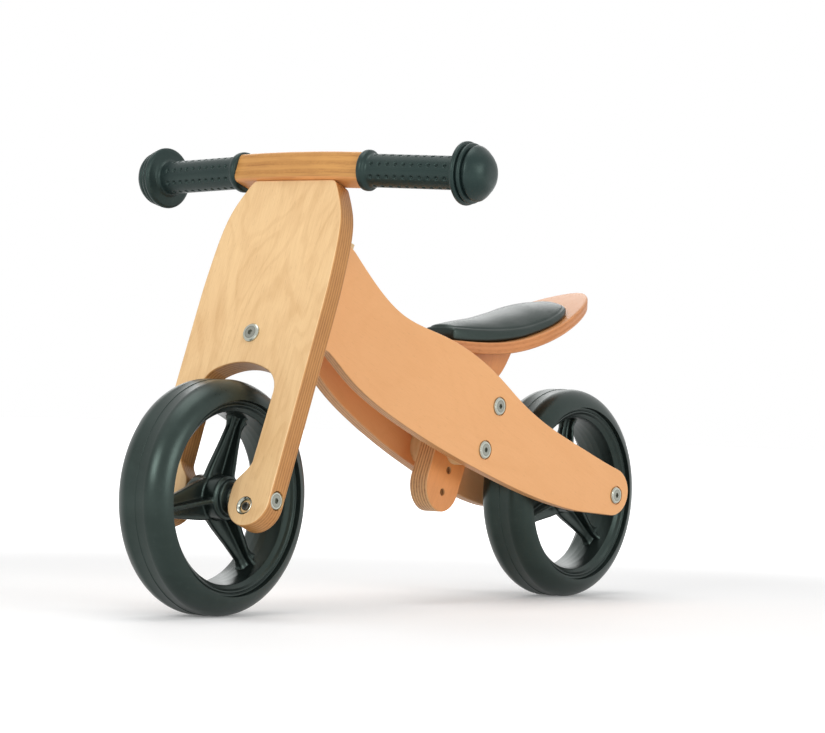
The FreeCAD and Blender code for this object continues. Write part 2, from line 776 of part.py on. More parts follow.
def line_point(share, height):
    """A point of the plate's outline, from its share of the wheelbase and its height over the axles."""
    return plate_point(rear_axle.x + share * wheelbase, rear_axle.z + height)


def head_point(setback, height):
    """A point of the steering head, from the fork's own measures to the bike's frame."""
    angle = math.radians(rake)
    x = front_axle.x - setback * math.cos(angle) - height * math.sin(angle)
    z = front_axle.z - setback * math.sin(angle) + height * math.cos(angle)
    return V(x, 0, z)


def plate_outline():
    """The plate: a rounded tail round the axle, rising to a squared head at the kingpin."""
    tail = V(rear_axle.x + 4, 0, rear_axle.z + 3)
    r = plate_tail_radius
    tail_top = plate_point(tail.x - 0.31 * r, tail.z + 0.951 * r)
    tail_back = plate_point(tail.x - r, tail.z)
    tail_low = plate_point(tail.x + 0.1 * r, tail.z - 0.995 * r)
    head_low = head_point(head_rear_setback - 2, head_bottom)
    nose_low = head_point(head_front_setback, head_bottom)
    nose_high = head_point(head_front_setback, head_top)
    head_high = head_point(head_rear_setback - 7, head_top - 9)
    low = plate_point(head_low.x, head_low.z)
    top = plate_point(head_high.x, head_high.z)
    upper = [tail_top] + [line_point(*place) for place in plate_upper_line] + [top]
    lower = [low] + [line_point(*place) for place in plate_lower_line] + [tail_low]
    tail_round = arc(tail_low, tail_back, tail_top)
    arriving = tail_round.tangentAt(tail_round.FirstParameter)
    leaving = tail_round.tangentAt(tail_round.LastParameter)
    return [tail_round,
            curve(upper, leaving, V(0.7, 0, 0.7)),
            line(top, plate_point(nose_high.x, nose_high.z)),
            line(plate_point(nose_high.x, nose_high.z), plate_point(nose_low.x, nose_low.z)),
            line(plate_point(nose_low.x, nose_low.z), low),
            curve(lower, V(-0.8, 0, -0.6), arriving)]


def post_point(offset, height):
    """A point of the seat post, from its own measures about the upper bolt to the bike's frame."""
    angle = math.radians(post_tilt)
    x = post_bolt_x + offset * math.cos(angle) - height * math.sin(angle)
    z = post_bolt_z + offset * math.sin(angle) + height * math.cos(angle)
    return V(x, 0, z)


def on_post(shape):
    return moved(turned(shape, ORIGIN, Y_AXIS, -post_tilt), V(post_bolt_x, 0, post_bolt_z))


post_bolt_places = [post_point(0, 0), post_point(0, -2 * post_hole_pitch)]


def side_plate(left):
    board = flat_board(plate_outline(), V(0, -1, 0), plate_thickness)
    uprights = [edge for edge in board.Edges if is_nose_corner(edge)]
    board = board.makeFillet(plate_front_corner, uprights)
    board = board.makeFillet(plate_edge_round, outline_edges(board, "y", (0, -plate_thickness)))
    board = on_left_plate(board)
    if not left:
        board = mirrored(board)
    side = 1 if left else -1
    holes = [(place, bolt_radius + bolt_hole_gap if left else sleeve_radius + sleeve_hole_gap)
             for place in post_bolt_places]
    holes.append((rear_axle, axle_radius + axle_hole_gap if left else axle_sleeve_radius + axle_hole_gap))
    for place, radius in holes:
        board = board.cut(rod(radius, place, V(0, side, 0), REACH))
        seat = plate_outer(place.x) - spot_face_depth
        board = board.cut(rod(spot_face_radius, V(place.x, side * seat, place.z), V(0, side, 0), REACH))
    return board


def is_nose_corner(edge):
    """True for the two upright corner edges at the front of a plate."""
    box = edge.BoundBox
    if box.YLength < plate_thickness / 2 or box.XLength > 0.1 or box.ZLength > 0.1:
        return False
    corners = [head_point(head_front_setback, height) for height in (head_bottom, head_top)]
    places = [plate_point(corner.x, corner.z) for corner in corners]
    return any(abs(box.XMin - place.x) < 1 and abs(box.ZMin - place.z) < 1 for place in places)


def space_between_plates():
    """The wedge of space between the inner faces of the two plates."""
    inner = plate_rear_half_width - plate_thickness / splay_cos
    rear = rear_axle.x - wheel_radius
    front = front_axle.x
    rear_half = inner - (rear - rear_axle.x) * splay_tan
    front_half = inner - (front - rear_axle.x) * splay_tan
    if front_half < 0:
        front = rear_axle.x + inner / splay_tan - 1
        front_half = splay_tan
    corners = [V(rear, -rear_half, 0), V(front, -front_half, 0), V(front, front_half, 0),
               V(rear, rear_half, 0)]
    return Part.Face(Part.makePolygon(corners + [corners[0]])).extrude(V(0, 0, REACH))


def head_block():
    """The wedge between the plates that holds the kingpin bushes."""
    blank = block((-head_rear_setback, -head_front_setback), (-REACH / 4, REACH / 4),
                  (head_bottom, head_top))
    lower = rod(kingpin_bush_radius + bush_fit_gap, V(-steering_setback, 0, head_bottom), Z_AXIS,
                head_top - head_bottom)
    return on_fork(blank.cut(lower)).common(space_between_plates())


def post_spacer(place, side):
    """A round wooden spacer from the post to the inner face of one plate."""
    disc = rod(spacer_radius, V(place.x, side * post_thickness / 2, place.z), V(0, side, 0), REACH / 4)
    hole = rod(max(bolt_radius + bolt_hole_gap, sleeve_radius + sleeve_hole_gap),
               place - V(0, REACH / 2, 0), Y_AXIS, REACH)
    return disc.cut(hole).common(space_between_plates())


def axle_spacer(side):
    """The tube that keeps the rear wheel in the middle between the plates."""
    outer = bush_flange_radius + 1
    start = V(rear_axle.x, side * (hub_face + side_gap), rear_axle.z)
    tube = rod(outer, start, V(0, side, 0), REACH / 4)
    hole = rod(axle_sleeve_radius + axle_hole_gap, rear_axle - V(0, REACH / 2, 0), Y_AXIS, REACH)
    return tube.cut(hole).common(space_between_plates())


def seat_curve():
    """The top line of the bent seat board along the middle plane."""
    points = [V(place, 0, wheel_radius + height) for place, height in seat_top_line]
    spline = Part.BSplineCurve()
    spline.interpolate(points)
    return spline


def seat_offset(distance, start, end):
    """Points a fixed distance above or below the seat curve, between two places along the bike."""
    spline = seat_curve()
    points = []
    for k in range(seat_curve_samples + 1):
        x = start + (end - start) * k / seat_curve_samples
        parameter = curve_parameter(spline, x)
        points.append(spline.value(parameter) + seat_normal(spline.tangent(parameter)[0]) * distance)
    return points


def seat_normal(tangent):
    """The upward direction square to the seat curve."""
    normal = V(-tangent.z, 0, tangent.x)
    return normal if normal.z > 0 else normal * -1


def curve_parameter(spline, x):
    """The parameter at which the seat curve, which runs rearwards, passes a place."""
    low = spline.FirstParameter
    high = spline.LastParameter
    for _ in range(40):
        middle = (low + high) / 2
        if spline.value(middle).x > x:
            low = middle
        else:
            high = middle
    return (low + high) / 2


def plan_prism(inset, rear, tail, tip):
    """The seat's plan outline, drawn in by an inset. Tail and tip are how far before its rear end and
    how far from the middle a point of the narrowing end lies."""
    nose = seat_front - inset
    nose_half = seat_nose_half_width - inset / 2
    widest = seat_half_width - inset
    tail_x = rear + tail[0]
    corner = 4.0
    side = [V(nose - corner, nose_half + 1, 0), V(-85, nose_half + 0.52 * (widest - nose_half), 0),
            V(-122, nose_half + 0.87 * (widest - nose_half), 0), V(seat_widest, widest, 0),
            V((seat_widest + tail_x) / 2, widest - 0.22 * (widest - tail[1]), 0), V(tail_x, tail[1], 0),
            V(rear + tip[0], tip[1], 0), V(rear, 0, 0)]
    left = [line(V(nose, 0, 0), V(nose, nose_half - corner, 0)),
            arc(V(nose, nose_half - corner, 0), V(nose - 0.25 * corner, nose_half - 0.3 * corner, 0),
                side[0]),
            curve(side, V(-0.9, 0.43, 0), V(0, -1, 0))]
    right = [edge.mirror(ORIGIN, Y_AXIS) for edge in left]
    face = Part.Face(Part.Wire(Part.__sortEdges__(left + right)))
    return face.extrude(V(0, 0, REACH))


def side_profile(lower, upper):
    """A slab across the bike between two lines of points that run rearwards."""
    edges = [curve(lower), line(lower[-1], upper[-1]), curve(upper), line(upper[0], lower[0])]
    face = Part.Face(Part.Wire(Part.__sortEdges__(edges)))
    slab = face.extrude(V(0, 2 * seat_half_width + 20, 0))
    return moved(slab, V(0, -seat_half_width - 10, 0))


def seat_line(distance):
    """A line of points along the whole seat, a distance above or below its top."""
    return seat_offset(distance, seat_front + 0.01, seat_rear - 3)


def seat_board():
    plan = plan_prism(0, seat_rear, (seat_tail_length, seat_tail_half_width),
                      (seat_tip_length, seat_tip_half_width))
    board = side_profile(seat_line(-seat_thickness), seat_line(0)).common(plan)
    board = board.makeFillet(seat_edge_round, level_edges(board))
    for tool in seat_screw_tools():
        board = board.cut(tool)
    return board


def level_edges(shape):
    """The edges round the top and bottom faces of a seat piece, which are not upright."""
    return [edge for edge in shape.Edges if abs(edge.tangentAt(edge.FirstParameter).z) < 0.9]


def seat_pad():
    """The closed body of the cushion, lying just above the seat board."""
    ahead = seat_front + 0.01
    behind = pad_rear - 3
    lower = seat_offset(pad_gap, ahead, behind)
    upper = [V(place, 0, wheel_radius + height) for place, height in pad_top_line]
    plan = plan_prism(pad_inset, pad_rear, (pad_tail_length, pad_tail_half_width),
                      (pad_tip_length, pad_tip_half_width))
    return side_profile(lower, upper).common(plan)


def seat_post():
    """A plank with a round foot, a row of bolt holes and a head that flares under the seat."""
    left = post_centre_offset - post_half_width
    right = post_centre_offset + post_half_width
    low = -post_round_centre
    flare = post_flare_start
    top = post_flare_top
    rear_top = V(post_centre_offset - post_flare_half_width - 6, 0, top)
    front_top = V(post_centre_offset + post_flare_half_width + 6, 0, top)
    rear_flare = [V(left, 0, flare), V(left - 8, 0, flare + 17),
                  V(post_centre_offset - post_flare_half_width, 0, top - 22), rear_top]
    front_flare = [V(2 * post_centre_offset - point.x, 0, point.z) for point in rear_flare]
    foot = arc(V(left, 0, low), V(post_centre_offset, 0, low - post_half_width), V(right, 0, low))
    edges = [foot,
             line(V(left, 0, low), V(left, 0, flare)),
             curve(rear_flare, Z_AXIS, V(-0.4, 0, 0.9)),
             line(rear_top, front_top),
             curve(front_flare, Z_AXIS, V(0.4, 0, 0.9)),
             line(V(right, 0, flare), V(right, 0, low))]
    plank = flat_board(edges, Y_AXIS, post_thickness)
    plank = plank.makeFillet(post_edge_round, outline_edges(plank, "y", (0, post_thickness)))
    plank = on_post(moved(plank, V(0, -post_thickness / 2, 0)))
    underside = seat_line(-seat_thickness)
    above = [V(point.x, 0, point.z + REACH) for point in (underside[0], underside[-1])]
    plank = plank.cut(side_profile(underside, above))
    for k in range(post_hole_count):
        place = post_point(0, -k * post_hole_pitch)
        plank = plank.cut(rod(post_hole_radius, place - V(0, post_thickness, 0), Y_AXIS,
                              2 * post_thickness))
    for tool in seat_screw_tools():
        plank = plank.cut(tool)
    return plank


def seat_screw_places():
    """Three screws down through the board into the head of the post."""
    spline = seat_curve()
    places = []
    for x in (-82, -102, -122):
        parameter = curve_parameter(spline, x)
        places.append((spline.value(parameter), spline.tangent(parameter)[0]))
    return places


def seat_screws():
    return group([countersunk_screw(wood_screw_head_radius, wood_screw_head_height, wood_screw_radius,
                                    seat_screw_length, place, seat_normal(tangent))
                  for place, tangent in seat_screw_places()])


def seat_screw_tools():
    return [screw_hole(wood_screw_head_radius, wood_screw_head_height, wood_screw_radius,
                       seat_screw_length, place, seat_normal(tangent))
            for place, tangent in seat_screw_places()]


def post_bolts():
    """The two bolts that hold the seat post between the plates, heads on the left."""
    bolts = []
    for place in post_bolt_places:
        half = plate_outer(place.x) - spot_face_depth
        bolts.append(furniture_bolt(bolt_head_radius, bolt_head_thickness, bolt_radius,
                                    2 * half - bolt_socket_depth - 1, place + V(0, half, 0), Y_AXIS))
    return group(bolts)


def post_nuts():
    nuts = []
    for place in post_bolt_places:
        half = plate_outer(place.x) - spot_face_depth
        nuts.append(sleeve_nut(bolt_head_radius, bolt_head_thickness, sleeve_radius,
                               bolt_radius + sleeve_bore_gap,
                               sleeve_length, place - V(0, half, 0), V(0, -1, 0)))
    return group(nuts)


def make_wheel(name, centre, first_angle):
    node(name + "_tyre", tyre(centre))
    node(name + "_rim", rim(centre, first_angle))
    node(name + "_wheel_bushes", wheel_bushes(centre))


def make_fork():
    node("fork_panel", on_fork(fork_panel()))
    node("fork_foot_screws", on_fork(group([foot_screw(1), foot_screw(-1)])))
    node("handlebar", on_fork(handlebar()))
    node("handlebar_screws", on_fork(bar_screws()))
    left_grip = on_fork(grip())
    node("grip_left", left_grip)
    node("grip_right", mirrored(left_grip))
    node("steering_bracket_lower", on_fork(lower_bracket()))
    node("steering_bracket_upper", on_fork(upper_bracket()))
    node("steering_bracket_screws", on_fork(bracket_screws()))
    node("panel_bolt", on_fork(panel_bolt()))
    node("panel_nut", on_fork(panel_nut()))
    node("kingpin", on_fork(kingpin()))
    node("kingpin_nut", on_fork(kingpin_nut()))
    node("kingpin_washers", on_fork(kingpin_washers()))
    bolt, nut = axle_bolt(front_axle, panel_half_width - axle_recess_depth, axle_sleeve_length)
    node("front_axle_bolt", bolt)
    node("front_axle_nut", nut)
    node("front_axle_washers", front_axle_washers())


def front_axle_washers():
    """A washer on the axle between each foot and the wheel's bush."""
    start = hub_face + side_gap
    disc = cross_rod(bush_flange_radius, 0, 0, start, foot_inner)
    hole = cross_rod(axle_sleeve_radius + axle_hole_gap, 0, 0, start, foot_inner)
    left = moved(disc.cut(hole), front_axle)
    return group([left, mirrored(left)])


def make_frame():
    node("side_plate_left", side_plate(True))
    node("side_plate_right", side_plate(False))
    node("head_block", head_block())
    node("kingpin_bush_lower", on_fork(kingpin_bush(head_bottom, 1)))
    node("kingpin_bush_upper", on_fork(kingpin_bush(head_top, -1)))
    node("seat_post", seat_post())
    for level, place in (("upper", post_bolt_places[0]), ("lower", post_bolt_places[1])):
        for side_name, side in (("left", 1), ("right", -1)):
            node("post_spacer_" + level + "_" + side_name, post_spacer(place, side))
    node("post_bolts", post_bolts())
    node("post_nuts", post_nuts())
    node("seat_board", seat_board())
    node("seat_screws", seat_screws())
    node("seat_pad", seat_pad())
    node("rear_axle_spacer_left", axle_spacer(1))
    node("rear_axle_spacer_right", axle_spacer(-1))
    bolt, nut = axle_bolt(rear_axle, plate_rear_half_width - spot_face_depth, axle_sleeve_length)
    node("rear_axle_bolt", bolt)
    node("rear_axle_nut", nut)


make_wheel("front", front_axle, front_spoke_angle)
make_wheel("rear", rear_axle, rear_spoke_angle)
make_fork()
make_frame()
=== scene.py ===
"""Looks for the wooden balance bike. Its wheels, grips, foot screws and seat pad are modelled here, and
every other piece keeps its shape and gets its wood, steel, rubber or plastic finish."""

import json
import math
from functools import cache

import bmesh
import bpy
import numpy as np
from bpy.props import BoolProperty, FloatProperty, FloatVectorProperty, IntProperty, PointerProperty
from mathutils import Matrix, Vector


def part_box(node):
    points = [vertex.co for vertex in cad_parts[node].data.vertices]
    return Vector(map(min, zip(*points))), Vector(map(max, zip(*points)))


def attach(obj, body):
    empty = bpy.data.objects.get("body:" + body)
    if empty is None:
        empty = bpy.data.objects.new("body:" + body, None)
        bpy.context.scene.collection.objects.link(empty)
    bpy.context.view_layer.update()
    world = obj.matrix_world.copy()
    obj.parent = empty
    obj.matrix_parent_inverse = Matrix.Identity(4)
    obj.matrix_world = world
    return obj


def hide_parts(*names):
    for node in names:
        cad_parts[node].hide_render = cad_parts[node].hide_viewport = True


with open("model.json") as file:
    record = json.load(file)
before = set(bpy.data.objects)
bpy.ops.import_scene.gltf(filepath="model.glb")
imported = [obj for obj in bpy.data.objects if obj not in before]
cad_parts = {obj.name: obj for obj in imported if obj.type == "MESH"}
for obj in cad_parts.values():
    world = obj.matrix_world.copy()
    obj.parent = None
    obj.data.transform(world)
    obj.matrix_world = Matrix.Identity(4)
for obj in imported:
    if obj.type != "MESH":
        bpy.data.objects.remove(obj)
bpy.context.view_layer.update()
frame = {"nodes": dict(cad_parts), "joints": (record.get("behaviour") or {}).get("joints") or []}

bl_info = {
    "name": "Balance bike finishes",
    "version": (1, 0, 0),
    "blender": (4, 5, 0),
    "location": "View3D > Sidebar > Bike",
    "description": "Builds the wheels, grips and seat pad of a wooden balance bike and finishes its parts",
    "category": "Object",
}

NODES = frame["nodes"]
JOINTS = {joint["name"]: joint for joint in frame["joints"]}
FRONT_AXLE = Vector(JOINTS["front_wheel_spin"]["pos_m"])
REAR_AXLE = Vector(JOINTS["rear_wheel_spin"]["pos_m"])
STEERING_UP = Vector(JOINTS["steering"]["axis"])
PANEL_FORWARD = Vector((STEERING_UP.z, 0, -STEERING_UP.x))
FORWARD, SIDEWAYS, UPRIGHT = Vector((1, 0, 0)), Vector((0, 1, 0)), Vector((0, 0, 1))

# Places that the construction gives, in metres and radians.
PLATE_SPLAY = math.radians(6.82)
PLATE_GRAIN_RISE = math.radians(25)
PLATE_REAR_HALF_WIDTH = 0.060
POST_TILT = math.radians(24)
POST_BOLTS = (Vector((-0.0815, 0, 0.1660)), Vector((-0.0652, 0, 0.1295)))
PANEL_BOLT_HEIGHT = 0.133
# Radius of the painted shade on a bolt's face.
BOLT_SHADE_RADIUS = 0.0050
PANEL_HALF_THICKNESS = 0.009
FOOT_SCREW_ASIDE, FOOT_SCREW_DROP = 0.040, 0.008
BAR_BEND_RADIUS, BAR_BEND_HALF, BAR_FORWARD, BAR_HEIGHT = 0.650, 0.0605, 0.002, 0.276
SEAT_TOP_LINE = ((-0.045, 0.2203), (-0.075, 0.2191), (-0.098, 0.2199), (-0.130, 0.2258), (-0.165, 0.2366),
                 (-0.205, 0.2516), (-0.240, 0.2636), (-0.266, 0.2705))

PLAIN_METALS = ("front_axle_washers", "kingpin", "kingpin_nut", "kingpin_washers")
SCREWS = ("handlebar_screws", "steering_bracket_screws", "seat_screws")
BRACKETS = ("steering_bracket_lower", "steering_bracket_upper")
NYLON = ("front_wheel_bushes", "rear_wheel_bushes", "kingpin_bush_lower", "kingpin_bush_upper",
         "rear_axle_spacer_left", "rear_axle_spacer_right")
SPACERS = ("post_spacer_upper_left", "post_spacer_upper_right", "post_spacer_lower_left",
           "post_spacer_lower_right", "head_block")


# ---- settings a user would change ----

def length(name, default, description):
    return FloatProperty(name=name, description=description, default=default, unit="LENGTH", precision=5)


def whole(name, default, least, description):
    return IntProperty(name=name, description=description, default=default, min=least)


def colour(name, default, description):
    return FloatVectorProperty(name=name, description=description, default=default, subtype="COLOR",
                               size=3, min=0, max=1)


class BikeWheelSettings(bpy.types.PropertyGroup):
    tread_half: length("Tread half width", 0.0082, "Half the width of the flat tread band")
    tyre_half: length("Tyre half width", 0.0251, "Half the width of the tyre")
    rim_half: length("Rim half width", 0.0215, "Half the width of the rim over its faces")
    hub_radius: length("Hub radius", 0.0172, "Radius of the hub's barrel")
    spoke_root: length("Spoke width at the hub", 0.0250, "Width of a spoke where it leaves the hub")
    spoke_tip: length("Spoke width at the rim", 0.0155, "Width of a spoke where it meets the rim")
    spoke_count: whole("Spokes", 3, 2, "Number of spokes in a wheel")
    segments: whole("Segments", 180, 24, "Steps round a wheel")
    moulding_step: length("Moulding step", 0.0008, "Grid size used to blend the spokes into the hub")


class BikeGripSettings(bpy.types.PropertyGroup):
    barrel_radius: length("Barrel radius", 0.0132, "Radius of the part that is held")
    dimple_radius: length("Dimple radius", 0.0018, "Radius of one dimple")
    dimple_depth: length("Dimple depth", 0.0017, "Depth of one dimple")
    dimple_pitch: length("Dimple pitch", 0.0075, "Distance between dimples along the grip")
    dimple_start: length("First dimple", 0.0120, "Distance of the first dimple from the inner end")
    dimple_count: whole("Dimples in a row", 10, 1, "Dimples along the grip")
    dimple_rows: whole("Rows of dimples", 8, 1, "Rows round the grip")


class BikePadSettings(bpy.types.PropertyGroup):
    pressure: FloatProperty(name="Pressure", description="Air pressure in the cover", default=4.0, min=0)
    most_swell: length("Most swell", 0.0045, "How far the cover may move while it is blown up")
    seam_depth: length("Seam depth", 0.0006, "Depth of the seam round the edge")
    seam_width: length("Seam width", 0.0016, "Width of the seam round the edge")
    edge_softness: whole("Edge softness", 60, 0, "Smoothing steps at the edge")


class BikeColourSettings(bpy.types.PropertyGroup):
    panel_light: colour("Panel light", (0.88, 0.60, 0.305), "Pale wood of the fork panel")
    panel_dark: colour("Panel dark", (0.66, 0.385, 0.165), "Figure in the wood of the fork panel")
    plate_light: colour("Plate light", (0.89, 0.455, 0.190), "Wood of the side plates")
    plate_dark: colour("Plate dark", (0.80, 0.375, 0.138), "Figure in the wood of the side plates")
    edge_light: colour("Edge light", (0.585, 0.275, 0.078), "Light layers in the fork panel's edge")
    edge_dark: colour("Edge dark", (0.33, 0.125, 0.028), "Dark layers in the fork panel's edge")
    spacer_light: colour("Spacer light", (0.84, 0.64, 0.36), "Pale wood of the spacers")
    rubber: colour("Tyre rubber", (0.0062, 0.0098, 0.0088), "Rubber of the tyres")
    plastic: colour("Wheel plastic", (0.0062, 0.0086, 0.0082), "Moulded plastic of the rims")
    grip: colour("Grip rubber", (0.0095, 0.0195, 0.0195), "Rubber of the grips")
    leather: colour("Pad leather", (0.0065, 0.0100, 0.0092), "Cover of the seat pad")
    steel: colour("Steel", (0.43, 0.455, 0.395), "Plated steel of the fasteners")
    add_stage: BoolProperty(name="Floor and lights", default=True,
                            description="Build the floor, lights and camera")


# ---- mesh helpers ----

MERGE_DISTANCE = 0.00001


def new_object(name, data):
    obj = bpy.data.objects.new(name, data)
    bpy.context.scene.collection.objects.link(obj)
    return obj


def object_from(work, name):
    """Put an edit mesh into a new object."""
    mesh = bpy.data.meshes.new(name)
    work.to_mesh(mesh)
    work.free()
    return new_object(name, mesh)


def mesh_object(name, verts, faces):
    mesh = bpy.data.meshes.new(name)
    mesh.from_pydata(verts, [], faces)
    mesh.validate()
    obj = new_object(name, mesh)
    tidy_normals(obj)
    return obj


def tidy_normals(obj):
    """Merge doubled points and turn every face outwards."""
    work = bmesh.new()
    work.from_mesh(obj.data)
    bmesh.ops.remove_doubles(work, verts=work.verts, dist=MERGE_DISTANCE)
    bmesh.ops.recalc_face_normals(work, faces=work.faces)
    work.to_mesh(obj.data)
    work.free()


def shade_by_angle(obj, degrees=35):
    """Shade smooth, with an edge wherever two faces meet at more than the angle."""
    obj.data.shade_smooth()
    work = bmesh.new()
    work.from_mesh(obj.data)
    for edge in work.edges:
        edge.smooth = edge.calc_face_angle(0) < math.radians(degrees)
    work.to_mesh(obj.data)
    work.free()


def applied(obj):
    """The object with its modifiers made part of its mesh."""
    graph = bpy.context.evaluated_depsgraph_get()
    mesh = bpy.data.meshes.new_from_object(obj.evaluated_get(graph), depsgraph=graph)
    old = obj.data
    obj.modifiers.clear()
    obj.data = mesh
    bpy.data.meshes.remove(old)
    return obj


def joined(name, parts):
    """One object made of several, whose meshes are put together unchanged."""
    work = bmesh.new()
    for part in parts:
        work.from_mesh(part.data)
        bpy.data.meshes.remove(part.data)
    return object_from(work, name)


def mirrored(outline):
    """The other half of an outline of (across, radius), in the order that closes it."""
    return [(-across, radius) for across, radius in reversed(outline)]


def rounded(points, radius, steps):
    """The closed outline with each corner drawn as a curve of about the radius, where there is room."""
    points = [Vector(p) for p in points]
    result = []
    for i, corner in enumerate(points):
        start, end = [corner + way.normalized() * min(radius, way.length * 0.45)
                      for way in (points[i - 1] - corner, points[(i + 1) % len(points)] - corner)]
        for k in range(steps + 1):
            t = k / steps
            result.append(start * (1 - t) ** 2 + corner * 2 * t * (1 - t) + end * t ** 2)
    return result


def split_run(start, end, longest):
    """Points from start up to, but not with, end, no further apart than the longest step."""
    steps = max(1, math.ceil((end - start).length / longest))
    return [start.lerp(end, k / steps) for k in range(steps)]


def lathe(name, profile, segments, closed=True):
    """Turn an outline of (along, radius) about the Y axis. An open outline starts and ends on the axis."""
    profile = [Vector(p) for p in profile]
    work = bmesh.new()
    rings = []
    for k in range(segments):
        turn = 2 * math.pi * k / segments
        rings.append([work.verts.new((p.y * math.cos(turn), p.x, p.y * math.sin(turn))) for p in profile])
    for this, that in zip(rings, rings[1:] + rings[:1]):
        for i in range(len(profile) if closed else len(profile) - 1):
            j = (i + 1) % len(profile)
            work.faces.new((this[i], that[i], that[j], this[j]))
    bmesh.ops.remove_doubles(work, verts=work.verts, dist=MERGE_DISTANCE)
    bmesh.ops.dissolve_degenerate(work, edges=work.edges, dist=MERGE_DISTANCE / 10)
    bmesh.ops.recalc_face_normals(work, faces=work.faces)
    obj = object_from(work, name)
    shade_by_angle(obj)
    return obj


def placed(obj, matrix):
    obj.data.transform(matrix)
    obj.data.update()
    return obj


def frame_matrix(x_axis, y_axis, z_axis, origin):
    """The matrix that carries the three axes and the origin to where they are named."""
    return Matrix.Translation(origin) @ Matrix((x_axis, y_axis, z_axis)).transposed().to_4x4()


def dress(obj, material):
    obj.data.materials.clear()
    obj.data.materials.append(material)


def dress_nodes(names, material):
    """Put a material in every slot of the parts that keep their own shape."""
    for name in names:
        obj = NODES[name]
        if not obj.material_slots:
            obj.data.materials.append(material)
        for slot in obj.material_slots:
            slot.material = material


def finish_piece(obj, material, body, replaced=()):
    """Give a new piece its finish, hang it under the empty of the body it rides on, and hide the parts it
    stands for.
    """
    dress(obj, material)
    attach(obj, body)
    if replaced:
        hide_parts(*replaced)


# ---- node helpers ----

class Net:
    """A short way to add and join nodes in one tree."""

    def __init__(self, tree):
        self.tree = tree

    def add(self, kind, inputs=None, **settings):
        """Add a node with its settings, and feed its inputs by name or number."""
        node = self.tree.nodes.new(kind)
        for key, value in settings.items():
            setattr(node, key, value)
        self.feed_all(node, inputs or {})
        return node

    def feed_all(self, node, inputs):
        for key, value in inputs.items():
            self.feed(node.inputs[key], value)

    def feed(self, socket, value):
        """Join an output to a socket, or write a plain value there. None leaves the socket as it is."""
        if value is None:
            return
        if isinstance(value, bpy.types.NodeSocket):
            self.tree.links.new(value, socket)
            return
        if hasattr(value, "__len__"):
            value = (*value, 1) if socket.type == "RGBA" else tuple(value)
        socket.default_value = value

    def maths(self, operation, *values, clamp=False):
        inputs = dict(enumerate(values))
        return self.add("ShaderNodeMath", inputs, operation=operation, use_clamp=clamp).outputs[0]

    def times(self, first, second):
        return self.maths("MULTIPLY", first, second)

    def minus(self, first, second):
        return self.maths("SUBTRACT", first, second)

    def times_plus(self, first, second, third, clamp=False):
        return self.maths("MULTIPLY_ADD", first, second, third, clamp=clamp)

    def distance(self, first, second):
        """The length of a step of the first number one way and the second across it."""
        return self.maths("SQRT", self.times_plus(first, first, self.times(second, second)))

    def vector(self, operation, first, second=None):
        inputs = {0: first, "Scale" if operation == "SCALE" else 1: second}
        outputs = self.add("ShaderNodeVectorMath", inputs, operation=operation).outputs
        return outputs["Value" if operation in ("DOT_PRODUCT", "LENGTH") else "Vector"]

    def parts(self, vector):
        """The three numbers in a vector."""
        return self.add("ShaderNodeSeparateXYZ", {0: vector}).outputs

    def bundle(self, *numbers):
        """A vector of three numbers."""
        return self.add("ShaderNodeCombineXYZ", dict(enumerate(numbers))).outputs[0]

    def ramp(self, value, low, high, out_low=0.0, out_high=1.0, smooth=True):
        inputs = dict(enumerate((value, low, high, out_low, out_high)))
        curve = "SMOOTHSTEP" if smooth else "LINEAR"
        return self.add("ShaderNodeMapRange", inputs, interpolation_type=curve).outputs[0]

    def mix(self, amount, first, second):
        """Blend two colours."""
        return self.add("ShaderNodeMix", {0: amount, 6: first, 7: second}, data_type="RGBA").outputs[2]

    def blend(self, amount, first, second):
        """Blend two numbers."""
        return self.add("ShaderNodeMix", {0: amount, 2: first, 3: second}, data_type="FLOAT").outputs[0]

    def noise(self, place, scale, detail, roughness, distortion=0.0):
        """Noise with its own scale along each axis, or one number for all three."""
        if isinstance(scale, (int, float)):
            scale = (scale, scale, scale)
        return self.add("ShaderNodeTexNoise", {
            "Vector": self.vector("MULTIPLY", place, scale), "Scale": 1.0, "Detail": detail,
            "Roughness": roughness, "Distortion": distortion}).outputs[0]


def geometry_tree(name, inputs):
    """A geometry node group: its net, the sockets it is given, and the identifier of each input."""
    tree = bpy.data.node_groups.new(name, "GeometryNodeTree")
    names = {}
    for label, kind in (("Geometry", "Geometry"), *inputs, ("Finish", "Material")):
        socket = tree.interface.new_socket(name=label, in_out="INPUT", socket_type="NodeSocket" + kind)
        names[label] = socket.identifier
    tree.interface.new_socket(name="Geometry", in_out="OUTPUT", socket_type="NodeSocketGeometry")
    net = Net(tree)
    return net, net.add("NodeGroupInput").outputs, names


def end_tree(net, geometry, finish):
    """Make every copy real, give it its material and put it out."""
    real = net.add("GeometryNodeRealizeInstances", {0: geometry}).outputs[0]
    paint = net.add("GeometryNodeSetMaterial", {"Geometry": real, "Material": finish}).outputs[0]
    net.add("NodeGroupOutput", {0: paint})


def shaped(obj, net, names, values):
    """The object after a geometry tree has worked on it with these values."""
    maker = obj.modifiers.new("shape", "NODES")
    maker.node_group = net.tree
    for label, value in values.items():
        maker[names[label]] = value
    return applied(obj)


# ---- finishes ----

DARK_SHEEN = (0.74, 1.0, 0.90)


